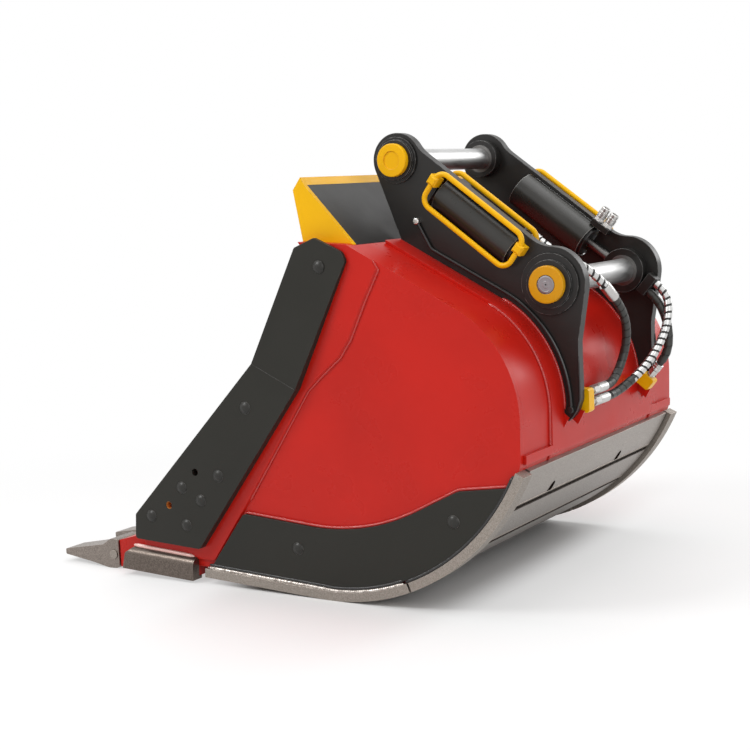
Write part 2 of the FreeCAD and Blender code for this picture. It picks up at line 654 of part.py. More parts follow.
def build_teeth():
    base_z = floor_z(LIP_FRONT_X) + LIP_RISE
    low = base_z - LIP_T - ADAPTER_LEG_T
    high = base_z + ADAPTER_LEG_T
    profile = [(TOOTH_TIP_X, TOOTH_TIP_Z[0], 4.0)] + TOOTH_UNDER
    profile += [(TOOTH_BASE_X, TOOTH_BASE_Z[0], 12.0), (TOOTH_BASE_X, TOOTH_BASE_Z[1], 6.0)] + TOOTH_OVER
    profile += [(TOOTH_TIP_X, TOOTH_TIP_Z[1], 5.0)]
    half_nose = TOOTH_W / 2 - NOSE_WALL
    face_x = TOOTH_BASE_X + ADAPTER_GAP
    nose = [(face_x + 1, NOSE_BASE_Z[0]), (face_x + 1, NOSE_BASE_Z[1]), (NOSE_X, NOSE_TIP_Z[1], NOSE_R),
            (NOSE_X, NOSE_TIP_Z[0], NOSE_R)]
    pocket = [(face_x, NOSE_BASE_Z[0] - NOSE_GAP), (face_x, NOSE_BASE_Z[1] + NOSE_GAP),
              (NOSE_X - NOSE_GAP, NOSE_TIP_Z[1] + NOSE_GAP), (NOSE_X - NOSE_GAP, NOSE_TIP_Z[0] - NOSE_GAP)]
    leg_rise = (TOOTH_BASE_X - ADAPTER_REAR_X) * -SLOPE * 2
    foot = [(face_x, low), (ADAPTER_REAR_X, low + leg_rise), (ADAPTER_REAR_X, high - NOSE_R),
            (ADAPTER_STEP_X, high + NOSE_R), (face_x, ADAPTER_FACE_Z)]
    adapters = []
    pins = []
    for index in range(TEETH):
        y = (index - (TEETH - 1) / 2) * TOOTH_PITCH
        block = plate(profile, y - TOOTH_W / 2, y + TOOTH_W / 2)
        side = [(TOOTH_TIP_X - 1, -TOOTH_TIP_W / 2), (TOOTH_TAPER_X, -TOOTH_W / 2), (face_x, -TOOTH_W / 2)]
        ring = side + [(x, -across) for x, across in reversed(side)] + side[:1]
        taper = Part.Face(Part.makePolygon([v(x, y + across, -1) for x, across in ring]))
        tooth = block.common(taper.extrude(v(0, 0, TOOTH_BASE_Z[1] + 2)))
        hole = bar(TOOTH_PIN_AT, TOOTH_PIN_D / 2 + HOLE_GAP, y - TOOTH_W, y + TOOTH_W)
        tooth = tooth.cut(plate(pocket, y - half_nose - NOSE_GAP, y + half_nose + NOSE_GAP))
        keep("tooth_%d" % (index + 1), tooth.cut(hole))

        body = plate(foot, y - ADAPTER_W / 2, y + ADAPTER_W / 2)
        adapter = fuse([body, plate(nose, y - half_nose, y + half_nose)])
        adapters.append(adapter.cut(NODES["cutting_edge"]).cut(hole))
        reach = TOOTH_W / 2 + TOOTH_PIN_OUT
        pins.append(bar(TOOTH_PIN_AT, TOOTH_PIN_D / 2, y - reach, y + reach))
    keep("tooth_adapters", Part.makeCompound(adapters))
    keep("tooth_pins", Part.makeCompound(pins))


def build_saddle():
    whole = band(SHELL, 0.0, SADDLE_T, -SADDLE_W / 2, SADDLE_W / 2)
    rear_z = HEEL_TOP[1] + SADDLE_LIFT
    rear_x = BACK_CORNER[0] + 3 * SADDLE_T
    reach = box(TOP_BEND[0] + SADDLE_START, rear_x, -HALF, HALF, rear_z, MOUTH_TOP[1])
    keep("saddle_plate", whole.common(reach))
    inner = HALF - SIDE_T
    foot = band(SHELL, 0.0, SADDLE_T, -inner, inner)
    foot = foot.common(box(HEEL_X, rear_x, -HALF, HALF, rear_z, rear_z + HEEL_BAND_H))
    gap = box(HEEL_X, rear_x, -SADDLE_W / 2, SADDLE_W / 2, rear_z - 1, rear_z + HEEL_BAND_H + 1)
    feet = foot.cut(gap).Solids
    keep("heel_bands", Part.makeCompound(feet))


def build_deflector():
    sunk_z = MOUTH_TOP[1] - DEFLECTOR_SINK
    side = [DEFLECTOR_TOP, DEFLECTOR_NOSE, (DEFLECTOR_TOP[0], MOUTH_TOP[1]), (MOUTH_TOP[0], sunk_z),
            (DEFLECTOR_FOOT[0], sunk_z), DEFLECTOR_FOOT, PANEL_HEAD]
    y0 = -DEFLECTOR_W / 2
    left = plate(side, y0, y0 + DEFLECTOR_T).cut(envelope(0.0, y0 - 1, y0 + DEFLECTOR_T + 1))
    both_sides("deflector_sides", [left])
    inner = DEFLECTOR_W / 2 - DEFLECTOR_T
    slope = math.degrees(math.atan2(DEFLECTOR_FOOT[1] - PANEL_HEAD[1], DEFLECTOR_FOOT[0] - PANEL_HEAD[0]))
    back = slope - 90.0
    foot = meet(PANEL_HEAD, slope, (0.0, sunk_z), 0.0)
    sheet = plate([PANEL_HEAD, foot, polar(foot, PANEL_T, back), polar(PANEL_HEAD, PANEL_T, back)],
                  -inner, inner)
    keep("deflector_panel", sheet.cut(envelope(0.0, -inner - 1, inner + 1)))
    strip = plate([DEFLECTOR_TOP, DEFLECTOR_NOSE, polar(DEFLECTOR_NOSE, LIP_STRIP_T, LIP_STRIP_ANGLE),
                   polar(PANEL_HEAD, PANEL_T, back), PANEL_HEAD], -inner, inner)
    keep("deflector_lip", strip.cut(NODES["deflector_panel"]))


def ear_outline():
    """Closed edges of one ear in the side view: two lobes joined by hollow curves and a spine."""
    def lobe_curve(centre_along, lobe, sign):
        run = math.sqrt((lobe + EAR_FILLET) ** 2 - (EAR_SPINE + EAR_FILLET) ** 2)
        scale = lobe / (lobe + EAR_FILLET)
        on_lobe = (centre_along + sign * run * scale, (EAR_SPINE + EAR_FILLET) * scale)
        on_spine = (centre_along + sign * run, EAR_SPINE)
        turn = math.atan2(run, EAR_SPINE + EAR_FILLET) / 2
        bow = (centre_along + sign * (run - EAR_FILLET * math.sin(turn)),
               EAR_SPINE + EAR_FILLET - EAR_FILLET * math.cos(turn))
        return on_ear(*on_lobe), on_ear(*bow), on_ear(*on_spine)

    def tangent(point, centre, radius, side):
        dx, dz = centre[0] - point[0], centre[1] - point[1]
        angle = math.degrees(math.atan2(dz, dx)) + side * math.degrees(math.asin(radius / math.hypot(dx, dz)))
        return polar(centre, radius, angle + side * 90.0)

    front_on, front_bow, front_spine = lobe_curve(0.0, FRONT_LOBE_R, 1)
    rear_on, rear_bow, rear_spine = lobe_curve(PIN_SPACING, REAR_LOBE_R, -1)
    front_touch = tangent(EAR_FOOT, FRONT_PIN, FRONT_LOBE_R, 1)
    rear_touch = tangent(EAR_KNEE, REAR_PIN, REAR_LOBE_R, -1)
    front_mid = polar(FRONT_PIN, FRONT_LOBE_R, 110.0)
    rear_mid = polar(REAR_PIN, REAR_LOBE_R, 30.0)
    flat = [EAR_KNEE + (EAR_KNEE_R,), EAR_TIP + (EAR_TIP_R,)] + EAR_ROOT

    def at(x, z):
        return v(x, -EAR_OUT, z)

    edges = [Part.Arc(at(*front_touch), at(*front_mid), at(*front_on)).toShape(),
             Part.Arc(at(*front_on), at(*front_bow), at(*front_spine)).toShape(),
             Part.makeLine(at(*front_spine), at(*rear_spine)),
             Part.Arc(at(*rear_spine), at(*rear_bow), at(*rear_on)).toShape(),
             Part.Arc(at(*rear_on), at(*rear_mid), at(*rear_touch)).toShape()]
    edges += path_edges([rear_touch] + flat + [EAR_FOOT, front_touch], False, at)
    return edges


def rod_bore(gap):
    """Space that a lock rod slides in, from the gland to the middle of the rear pin."""
    return along_bar(CYL_END - GLAND_LEN - 1, PIN_SPACING, 0.0, -CYL_Y, ROD_D / 2 + gap)


def build_ears():
    ear = Part.Face(Part.Wire(Part.__sortEdges__(ear_outline()))).extrude(v(0, EAR_T, 0))
    ear = ear.cut(envelope(SADDLE_T, -EAR_OUT - 1, -EAR_IN + 1))
    chord = math.sqrt((CYL_D / 2) ** 2 - (EAR_IN - CYL_Y) ** 2) + SEAT_GAP
    length = WINDOW_END - WINDOW_START
    start = on_ear(WINDOW_START, 0.0)
    window = Part.makeBox(length, EAR_T + 2, 2 * chord, v(0, -EAR_OUT - 1, -chord))
    across = [e for e in window.Edges if abs(e.BoundBox.YLength - EAR_T - 2) < 0.01]
    window = window.makeFillet(WINDOW_R, across)
    window.rotate(v(0, 0, 0), v(0, 1, 0), EAR_SLOPE)
    window.translate(v(start[0], 0, start[1]))
    ear = ear.cut(window)
    bush_front = FRONT_PIN_D / 2 + RUN_GAP + BUSH_T
    bush_rear = REAR_PIN_D / 2 + RUN_GAP + BUSH_T
    ear = ear.cut(bar(FRONT_PIN, bush_front, -EAR_OUT - 1, -EAR_IN + 1))
    ear = ear.cut(bar(REAR_PIN, bush_rear, -EAR_OUT - 1, -EAR_IN + 1))
    ear = ear.cut(rod_bore(RUN_GAP * 10))
    keep_pair("ear", ear)

    def boss(centre, bore, steps):
        wide = tube(centre, steps[1], bore, -EAR_OUT - BOSS_STEP, -EAR_OUT)
        narrow = tube(centre, steps[0], bore, -EAR_OUT - BOSS_OUT, -EAR_OUT - BOSS_STEP)
        inside = tube(centre, steps[0], bore, -EAR_IN, -EAR_IN + BOSS_IN)
        return wide.fuse(narrow).removeSplitter(), inside

    outer, inside = boss(FRONT_PIN, bush_front, BOSS_RING_R)
    both_sides("front_bosses", [outer, inside])
    outer, inside = boss(REAR_PIN, bush_rear, BOSS_STEP_R)
    inside = inside.cut(rod_bore(RUN_GAP * 10))
    both_sides("rear_bosses", [outer, inside])

    y0, y1 = -EAR_OUT - BOSS_OUT, -EAR_IN + BOSS_IN
    both_sides("front_bushes", [tube(FRONT_PIN, bush_front, FRONT_PIN_D / 2 + RUN_GAP, y0, y1)])
    rear_bush = tube(REAR_PIN, bush_rear, REAR_PIN_D / 2 + RUN_GAP, y0, y1)
    both_sides("rear_bushes", [rear_bush.cut(rod_bore(RUN_GAP))])

    gussets = []
    for y, outline in ((-EAR_OUT - GUSSET_T, GUSSET_OUTER), (-EAR_IN, GUSSET_INNER)):
        fin = plate(outline, y, y + GUSSET_T).cut(envelope(SADDLE_T, y - 1, y + GUSSET_T + 1))
        gussets.append(fin)
    both_sides("ear_gussets", gussets)


def build_pins():
    reach = EAR_OUT + BOSS_OUT + SEAT_GAP
    face = -reach - CAP_T
    keep("front_pin", bar(FRONT_PIN, FRONT_PIN_D / 2, -reach, reach))

    def disc(centre, radius, edge_r):
        piece = bar(centre, radius, face, -reach)
        return piece.makeFillet(edge_r, [e for e in piece.Edges if abs(e.BoundBox.YMin - face) < 0.01
                                         and e.BoundBox.YLength < 0.01])

    cap = disc(FRONT_PIN, FRONT_CAP_R, CAP_EDGE_R)
    keep_pair("front_cap", cap.cut(bar(FRONT_PIN, CAP_DISH_R, face - 1, face + CAP_DISH)))

    rear = bar(REAR_PIN, REAR_PIN_D / 2, -reach, reach)
    groove = tube(REAR_PIN, REAR_PIN_D, REAR_PIN_D / 2 - GROOVE_DEPTH, -CYL_Y - ROD_D / 2 - 1,
                  -CYL_Y + ROD_D / 2 + 1)
    rear = rear.cut(groove).cut(mirrored(groove))
    end = reach + CAP_T - SPIGOT_SHORT
    rear = rear.fuse(bar(REAR_PIN, SPIGOT_R, -end, end)).removeSplitter()
    centre = bar(REAR_PIN, CENTRE_R, -end - 1, -end + CENTRE_DEPTH)
    keep("rear_pin", rear.cut(centre).cut(mirrored(centre)))
    ring = disc(REAR_PIN, REAR_CAP_R, RING_EDGE_R)
    keep_pair("rear_ring", ring.cut(bar(REAR_PIN, SPIGOT_R + RUN_GAP, face - 1, -reach + 1)))


def build_cylinders():
    y = -CYL_Y
    r = CYL_D / 2
    bore = r - CYL_WALL
    barrel = along_bar(CYL_START, CYL_END, 0.0, y, r)
    barrel = barrel.cut(along_bar(CYL_START + CYL_HEAD, CYL_END + 1, 0.0, y, bore))
    lug = along_bar(WINDOW_START, CYL_START, 0.0, y, LUG_D / 2)
    keep_pair("lock_cylinder_barrel", fuse([barrel, lug]))
    gland = along_bar(CYL_END - GLAND_LEN, CYL_END, 0.0, y, bore)
    flange = along_bar(CYL_END, CYL_END + FLANGE_T, 0.0, y, GLAND_D / 2)
    both_sides("lock_cylinder_glands", [fuse([gland, flange]).cut(rod_bore(RUN_GAP))])
    tip = PIN_SPACING - REAR_PIN_D / 2 + GROOVE_DEPTH - SEAT_GAP
    rod = along_bar(PISTON_AT - PISTON_LEN, tip, 0.0, y, ROD_D / 2)
    piston = along_bar(PISTON_AT - PISTON_LEN, PISTON_AT, 0.0, y, bore - RUN_GAP)
    keep_pair("lock_rod", fuse([piston, rod]))


def loop_bar(size, y):
    """Closed round bar in a plane parallel to an ear."""
    start, end, low, high, _ = size
    corners = [(start, low, LOOP_R), (end, low, LOOP_R), (end, high, LOOP_R), (start, high, LOOP_R)]

    def at(along, across):
        x, z = on_ear(along, across)
        return v(x, y, z)

    spine = Part.Wire(path_edges(corners, True, at))
    first = spine.OrderedEdges[0]
    here = first.valueAt(first.FirstParameter)
    ring = Part.Wire([Part.makeCircle(LOOP_D / 2, here, first.tangentAt(first.FirstParameter))])
    return spine.makePipeShell([ring], True, False)


def clamp_block(along, face_y, loop_y, bars):
    """Block that holds a guard loop on the face of an ear."""
    sign = 1 if loop_y > face_y else -1
    depth = abs(loop_y - face_y) + LOOP_D / 2 + CLAMP_COVER
    block = Part.makeBox(CLAMP, depth, CLAMP, v(-CLAMP / 2, 0 if sign > 0 else -depth, -CLAMP / 2))
    far = [e for e in block.Edges if abs(e.BoundBox.YMin - sign * depth) < 0.01
           and e.BoundBox.YLength < 0.01]
    block = block.makeChamfer(CLAMP_BEVEL, far)
    block.rotate(v(0, 0, 0), v(0, 1, 0), EAR_SLOPE)
    x, z = on_ear(along, CLAMP_LIFT)
    block.translate(v(x, face_y, z))
    return block.cut(bars)


def build_guards():
    outer_y, inner_y = -EAR_OUT - LOOP_OUTER[4], -EAR_IN + LOOP_INNER[4]
    outer, inner = loop_bar(LOOP_OUTER, outer_y), loop_bar(LOOP_INNER, inner_y)
    keep("guard_loops", Part.makeCompound([outer, inner, mirrored(outer)]))
    clamps = []
    for along in LOOP_OUTER[:2]:
        block = clamp_block(along, -EAR_OUT, outer_y, outer)
        clamps += [block, mirrored(block)]
        clamps.append(clamp_block(along, -EAR_IN, inner_y, inner))
    keep("guard_clamps", Part.makeCompound(clamps))


def rod_between(p, q, radius):
    p, q = v(*p), v(*q)
    return Part.makeCylinder(radius, (q - p).Length, p, q - p)


def backed(p, q, distance):
    """Point on the line from q through p, at a distance beyond p."""
    a, b = v(*p), v(*q)
    away = a - b
    away.normalize()
    return tuple(a + away * distance)


def fitting(p, q, lengths):
    """Ferrule and adapter behind the end p of a hose whose next point is q."""
    a = backed(p, q, lengths[0])
    shape = rod_between(p, a, FERRULE_D / 2)
    if lengths[1]:
        shape = fuse([shape, rod_between(a, backed(p, q, sum(lengths)), ADAPTER_D / 2)])
    return shape


def turned_box(centre, y0, size, turn):
    """Box seen turned in the side view; size is its depth, width and height."""
    depth, width, height = size
    shape = Part.makeBox(depth, width, height, v(-depth / 2, y0, -height / 2))
    shape.rotate(v(0, 0, 0), v(0, 1, 0), -turn)
    shape.translate(v(centre[0], 0, centre[1]))
    return shape


def led(route):
    """Hose route whose start follows the rear pin and whose end follows the blocks on the ears."""
    top = (REAR_PIN[0] - DRAWN_REAR_PIN[0], REAR_PIN[1] - DRAWN_REAR_PIN[1])
    foot = (BLOCK_AT[0] - DRAWN_BLOCK_AT[0], BLOCK_AT[1] - DRAWN_BLOCK_AT[1])
    moved = []
    for index, (x, y, z) in enumerate(route):
        share = max(0.0, min(1.0, (index - 1) / (len(route) - 3)))
        moved.append((x + top[0] + (foot[0] - top[0]) * share, y, z + top[1] + (foot[1] - top[1]) * share))
    return moved


def build_hydraulics():
    hose_a, hose_b, hose_c = led(HOSE_A), led(HOSE_B), led(HOSE_C)
    inside = EAR_IN - GUSSET_T
    half_x, half_z = BLOCK[0] / 2, BLOCK[2] / 2
    left = box(BLOCK_AT[0] - half_x, BLOCK_AT[0] + half_x, -inside, -inside + BLOCK[1],
               BLOCK_AT[1] - half_z, BLOCK_AT[1] + half_z)
    left = left.makeChamfer(BLOCK_BEVEL, [e for e in left.Edges if e.BoundBox.YLength > BLOCK[1] - 1])
    face = backed(hose_c[-1], hose_c[-2], sum(SHORT_END))
    middle = backed(hose_c[-1], hose_c[-2], sum(SHORT_END) + TURNED_SIZE[0] / 2)
    tip = math.degrees(math.atan2(face[2] - middle[2], face[0] - middle[0]))
    right = turned_box((middle[0], middle[2]), inside - TURNED_SIZE[1], TURNED_SIZE, tip)
    across = [e for e in right.Edges if e.BoundBox.YLength > TURNED_SIZE[1] - 1]
    right = right.makeChamfer(TURNED_BEVEL, across)
    keep("hydraulic_blocks", Part.makeCompound([left, right]))

    port_mid = (PORT_FACE - PORT_DEPTH / 2, sum(PORT_SPAN) / 2)
    turn = math.radians(PORT_TURN)
    port_at = (REAR_PIN[0] + port_mid[0] * math.cos(turn) - port_mid[1] * math.sin(turn),
               REAR_PIN[1] + port_mid[0] * math.sin(turn) + port_mid[1] * math.cos(turn))
    port = turned_box(port_at, EAR_IN - PORT_W, (PORT_DEPTH, PORT_W, PORT_SPAN[1] - PORT_SPAN[0]), PORT_TURN)
    x, z = on_ear(STUB_AT, 0.0)
    lean = math.sqrt(0.5)
    a = math.radians(EAR_SLOPE)
    out = v(math.sin(a) * lean, lean, math.cos(a) * lean)
    stub = Part.makeCylinder(STUB_D / 2, STUB_REACH, v(x, -CYL_Y, z), out)
    stub = stub.cut(along_bar(CYL_START, CYL_END, 0.0, -CYL_Y, CYL_D / 2))
    low = on_ear(MANIFOLD[0], CYL_D / 2 + SEAT_GAP)
    manifold = Part.makeBox(MANIFOLD[1] - MANIFOLD[0], PORT_W, MANIFOLD_H, v(0, 0, 0))
    manifold.rotate(v(0, 0, 0), v(0, 1, 0), EAR_SLOPE)
    manifold.translate(v(low[0], EAR_IN - PORT_W, low[1]))
    keep("port_blocks", Part.makeCompound([port, stub, manifold]))

    couplers = []
    base = CYL_D / 2 + SEAT_GAP + MANIFOLD_H
    for along in COUPLER_AT:
        pieces = []
        here = base
        for length, width in zip(COUPLER_STEPS, (COUPLER_HEX, COUPLER_D, COUPLER_TIP_D)):
            p, q = on_ear(along, here), on_ear(along, here + length)
            y = EAR_IN - PORT_W / 2
            pieces.append(rod_between((p[0], y, p[1]), (q[0], y, q[1]), width / 2))
            here += length
        couplers.append(fuse(pieces))
    keep("quick_couplers", Part.makeCompound(couplers))

    ends = [fitting(hose_a[0], hose_a[1], STUB_END), fitting(hose_a[-1], hose_a[-2], LONG_END),
            fitting(hose_b[-1], hose_b[-2], LONG_END), fitting(hose_c[-1], hose_c[-2], SHORT_END)]
    keep("hose_fittings", Part.makeCompound(ends))
    for name, route in (("hose_a", hose_a), ("hose_b", hose_b), ("hose_c", hose_c)):
        body, length, radii = pipe(route, HOSE_D / 2)
        keep(name, body)
        print(name, "length %.1f" % length, "volume ratio %.4f"
              % (body.Volume / (math.pi * (HOSE_D / 2) ** 2 * length)), [round(r) for r in radii])

    line_y = -EAR_OUT - LINE_D / 2 - SEAT_GAP
    moved = offset(SHELL, SADDLE_T + LINE_LIFT)
    knee, bend = moved[3], moved[4]
    run = (LINE_ENTRY_X - bend[0]) / (knee[0] - bend[0])
    entry = (LINE_ENTRY_X, bend[1] + (knee[1] - bend[1]) * run, LINE_ENTRY_R)
    fall = (knee[1] - LINE_END_Z) / (knee[1] - moved[2][1])
    end = (knee[0] + (moved[2][0] - knee[0]) * fall, LINE_END_Z)
    points = [LINE_TOP, entry, knee, end]
    spine = Part.Wire(path_edges(points, False, lambda x, z: v(x, line_y, z)))
    first = v(entry[0] - LINE_TOP[0], 0, entry[1] - LINE_TOP[1])
    ring = Part.Wire([Part.makeCircle(LINE_D / 2, v(LINE_TOP[0], line_y, LINE_TOP[1]), first)])
    line = spine.makePipeShell([ring], True, False)
    both_sides("hard_lines", [line])
    studs = []
    for place in (LINE_TOP, end):
        stud = bar(place, BALL_D / 2, line_y - LINE_D / 2 - BALL_WALL, -EAR_OUT)
        rim = [e for e in stud.Edges if abs(e.BoundBox.YMin - line_y + LINE_D / 2 + BALL_WALL) < 0.01
               and e.BoundBox.YLength < 0.01]
        studs.append(stud.makeFillet(BALL_EDGE_R, rim).cut(line))
    both_sides("line_fittings", studs)


def main():
    build_shell()
    build_cutters()
    build_heel()
    build_teeth()
    build_saddle()
    build_deflector()
    build_ears()
    build_pins()
    build_cylinders()
    build_guards()
    build_hydraulics()
    os.makedirs("parts", exist_ok=True)
    for name, shape in NODES.items():
        shape.translate(v(-ORIGIN_X, 0, 0))
        shape.exportStep("parts/%s.step" % name)
        bb = shape.BoundBox
        print("%-26s %2d solids %8.0f cm3 valid %s x %.0f..%.0f y %.0f..%.0f z %.0f..%.0f" % (
            name, len(shape.Solids), shape.Volume / 1000, shape.isValid(), bb.XMin, bb.XMax,
            bb.YMin, bb.YMax, bb.ZMin, bb.ZMax))


main()
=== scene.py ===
"""Looks of the bucket: paint, bare steel, welds, hoses, floor, light and camera."""
import json
import math
import random

import bpy
from mathutils import Matrix, Vector

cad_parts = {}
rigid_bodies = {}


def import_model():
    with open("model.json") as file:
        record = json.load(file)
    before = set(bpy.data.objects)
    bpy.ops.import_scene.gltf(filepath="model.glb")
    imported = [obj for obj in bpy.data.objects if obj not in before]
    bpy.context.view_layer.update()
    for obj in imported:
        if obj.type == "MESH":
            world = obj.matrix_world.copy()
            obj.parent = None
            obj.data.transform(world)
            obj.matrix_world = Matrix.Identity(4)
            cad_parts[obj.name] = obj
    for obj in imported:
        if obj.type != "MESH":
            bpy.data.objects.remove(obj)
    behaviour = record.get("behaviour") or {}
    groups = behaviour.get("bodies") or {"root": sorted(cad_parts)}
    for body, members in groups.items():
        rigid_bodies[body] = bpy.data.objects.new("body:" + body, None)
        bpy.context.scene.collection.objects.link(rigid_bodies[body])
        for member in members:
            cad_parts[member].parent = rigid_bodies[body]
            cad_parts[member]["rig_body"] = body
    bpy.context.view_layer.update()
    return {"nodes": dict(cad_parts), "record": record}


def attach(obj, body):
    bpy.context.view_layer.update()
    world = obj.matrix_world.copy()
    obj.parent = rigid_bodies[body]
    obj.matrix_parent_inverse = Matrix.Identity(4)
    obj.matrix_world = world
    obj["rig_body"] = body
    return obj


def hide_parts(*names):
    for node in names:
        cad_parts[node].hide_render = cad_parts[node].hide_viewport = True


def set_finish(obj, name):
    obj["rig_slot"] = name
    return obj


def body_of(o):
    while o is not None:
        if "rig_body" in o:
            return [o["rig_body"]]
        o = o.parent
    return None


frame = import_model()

NODES = frame["nodes"]
MM = 0.001
ORIGIN_X = -25.0
SMOOTH_ANGLE = 28.0
MERGE_DISTANCE = 0.00001

# Floor and light, in metres: the line on which the heel stands, and the zones in which the glow rises; the
# glow lightens the floor's real shadow near the bucket as painted light, and its lack along the contact
# line paints a darker contact shade
FLOOR_SIZE = 60.0
FLOOR_GLOW = 0.5
CONTACT = (0.172, 0.0)
CONTACT_STRETCH = (1.0, 0.15, 1.0)
CONTACT_SHADE_ZONE = (0.25, 0.42)
BACKDROP_ZONE = (0.9, 2.4)
WORLD_LIGHT = 0.34

# Camera: lens and sensor in millimetres, place in the outlines' millimetres
LENS = 71.376
SENSOR = 36.0
CAMERA_PLACE = (2220.7, -3625.0, 1062.7)
CAMERA_AHEAD = (-0.5203, 0.8444, -0.1277)
CAMERA_RIGHT = (0.8534, 0.5195, -0.0417)

# Sizes repeated from the solids, in millimetres
HALF = 500.0
EAR_IN, EAR_OUT = 234.0, 262.0
FRONT_PIN = (242.0, 1120.0)
REAR_PIN = (669.27, 798.03)
EAR_SLOPE = 37.0
HEEL = (147.0, 613.0)
HEEL_R = 589.0
FLOOR_SLOPE = 2.8
SADDLE_T = 8.0
SADDLE_HALF = 335.0
SHELL_BACK = [(683.4, 369.7), (689.2, 382.4, 60.0), (693.0, 668.0, 300.0), (228.0, 916.0, 80.0),
              (85.0, 924.0)]
SHROUD_TOP = [(-126.0, 205.0), (255.0, 176.0, 600.0), (524.0, 313.0, 40.0), (664.0, 331.0)]
COUPLER_AT = (396.0, 426.0)
COUPLER_FOOT = 66.3
COUPLER_Y = 219.0

# Hoses: the routes of the solids, in millimetres, with the middle of hose_b 2 mm nearer to the shell
HOSE_D = 20.0
FERRULE_D = 26.0
STUB_END, LONG_END, SHORT_END = (23.0, 0.0), (88.0, 32.0), (34.0, 10.0)
HOSE_A = [(604.0, -181.0, 902.0), (635.9, -181.0, 877.9), (668.0, -172.0, 860.0), (698.0, -155.0, 841.0),
          (723.0, -131.0, 818.0), (740.0, -104.0, 790.0), (751.0, -75.0, 760.0), (757.0, -43.0, 732.0),
          (758.5, -11.0, 702.0), (755.0, 16.0, 667.0), (747.5, 34.0, 629.0), (738.5, 37.5, 592.0),
          (731.5, 24.5, 558.2), (728.0, -0.7, 533.0), (727.0, -34.0, 519.0), (727.0, -70.0, 519.0)]
HOSE_B = [(757.5, 219.0, 763.1), (788.8, 219.0, 736.8), (800.6, 207.9, 702.1), (803.4, 190.1, 665.2),
          (799.6, 168.1, 629.0), (791.6, 142.7, 595.2), (780.3, 114.2, 564.6), (765.6, 82.7, 538.2),
          (750.9, 48.2, 516.5), (738.5, 10.8, 500.3), (731.0, -29.1, 491.0), (731.0, -70.0, 491.0)]
HOSE_C = [(738.2, 219.0, 740.1), (762.0, 219.0, 720.1), (783.0, 213.0, 687.0),
          (798.0, 207.0, 648.0), (801.0, 205.0, 606.0), (792.7, 206.0, 568.1), (772.5, 206.0, 543.3)]
SLEEVE_AT = (212.0, 264.0)
BARE_END_B = 130.0

# Guards round the hoses: pitch, width and thickness of the wound strip
STEEL_GUARD = (20.0, 13.5, 1.2)
PLASTIC_WRAP = (24.0, 22.0, 1.6)
GUARD_FIT = 0.15
GUARD_START = 5.0
WRAP_GAP = 2.0
WRAP_END = 6.0
TURN_STEPS = 28

# Weld beads: distance between their sections, and length of one ripple
BEAD_STEP = 1.8
RIPPLE = 6.2
RIPPLE_DEPTH = 0.22
BEAD_TAPER = 0.08
BEAD_END = 0.45

# Small forms, in millimetres and in degrees round the heel's centre
STRIP_FOOT = (118.0, 24.7)
STRIP_END = -68.4
JOINT_TURNS = (-90.0, -68.0, -25.5)
FOLD_R = 0.8
SEAM_TURNS = (-48.0, -35.5)
SEAM_HALF = 0.8
WEAR_R = HEEL_R + 12.0
WEAR_HALF = 456.0
NOTCH_TURNS = (-35.0, -31.6)
NOTCH_TOP = -28.9
NOTCH_HALF = 12.0
NOTCH_PLACES = (-246.0, 194.0)
RIM_EDGE = [(301.0, 877.0), (318.0, 851.0), (278.0, 777.0), (229.0, 676.0), (197.0, 631.0), (134.0, 578.0),
            (94.0, 541.0), (-110.0, 238.0)]
FOLD_LINE = [(-60.0, 611.0), (70.0, 549.0)]
CUTTER_FACE = 531.0
SPARE_HOLE = (-365.0, 214.0)
HOLE_R = 10.4
PIN_END_Y = 290.0
EAR_FOOT = [(690.5, 652.0), (740.0, 665.0), (739.5, 650.0), (739.4, 620.0), (740.0, 580.0), (740.8, 545.0),
            (740.2, 510.0), (732.1, 484.8), (720.9, 468.0), (709.8, 457.5), (701.8, 461.5), (691.0, 482.0)]
FIN_OUTER = [(689.0, 486.0), (712.0, 464.0), (697.5, 438.0), (689.0, 448.0)]
FIN_INNER = [(690.0, 492.0), (740.0, 478.0), (722.0, 444.0), (690.0, 470.0)]
FIN_T = 5.0
WING_WELD = [(-518.0, 74.0), (-464.0, 71.0), (-376.0, 66.0), (-306.0, 61.0)]

# Heights in metres between which a finish changes: over the first the wear plates' painted shade towards
# the ground fades out, at the second the line ends turn from black to bare metal
PAINTED_SHADE_LOW_ZONE = (0.10, 0.30)
BRIGHT_ABOVE = (0.80, 0.81)


def at(x, y, z):
    """A point given in the outlines' millimetres, in metres of the frame."""
    return Vector(((x - ORIGIN_X) * MM, y * MM, z * MM))


def on_ear(along, across):
    """Place in the side view from the distances along the ear's slope and square to it."""
    a = math.radians(EAR_SLOPE)
    return (FRONT_PIN[0] + along * math.cos(a) + across * math.sin(a),
            FRONT_PIN[1] - along * math.sin(a) + across * math.cos(a))


# Materials

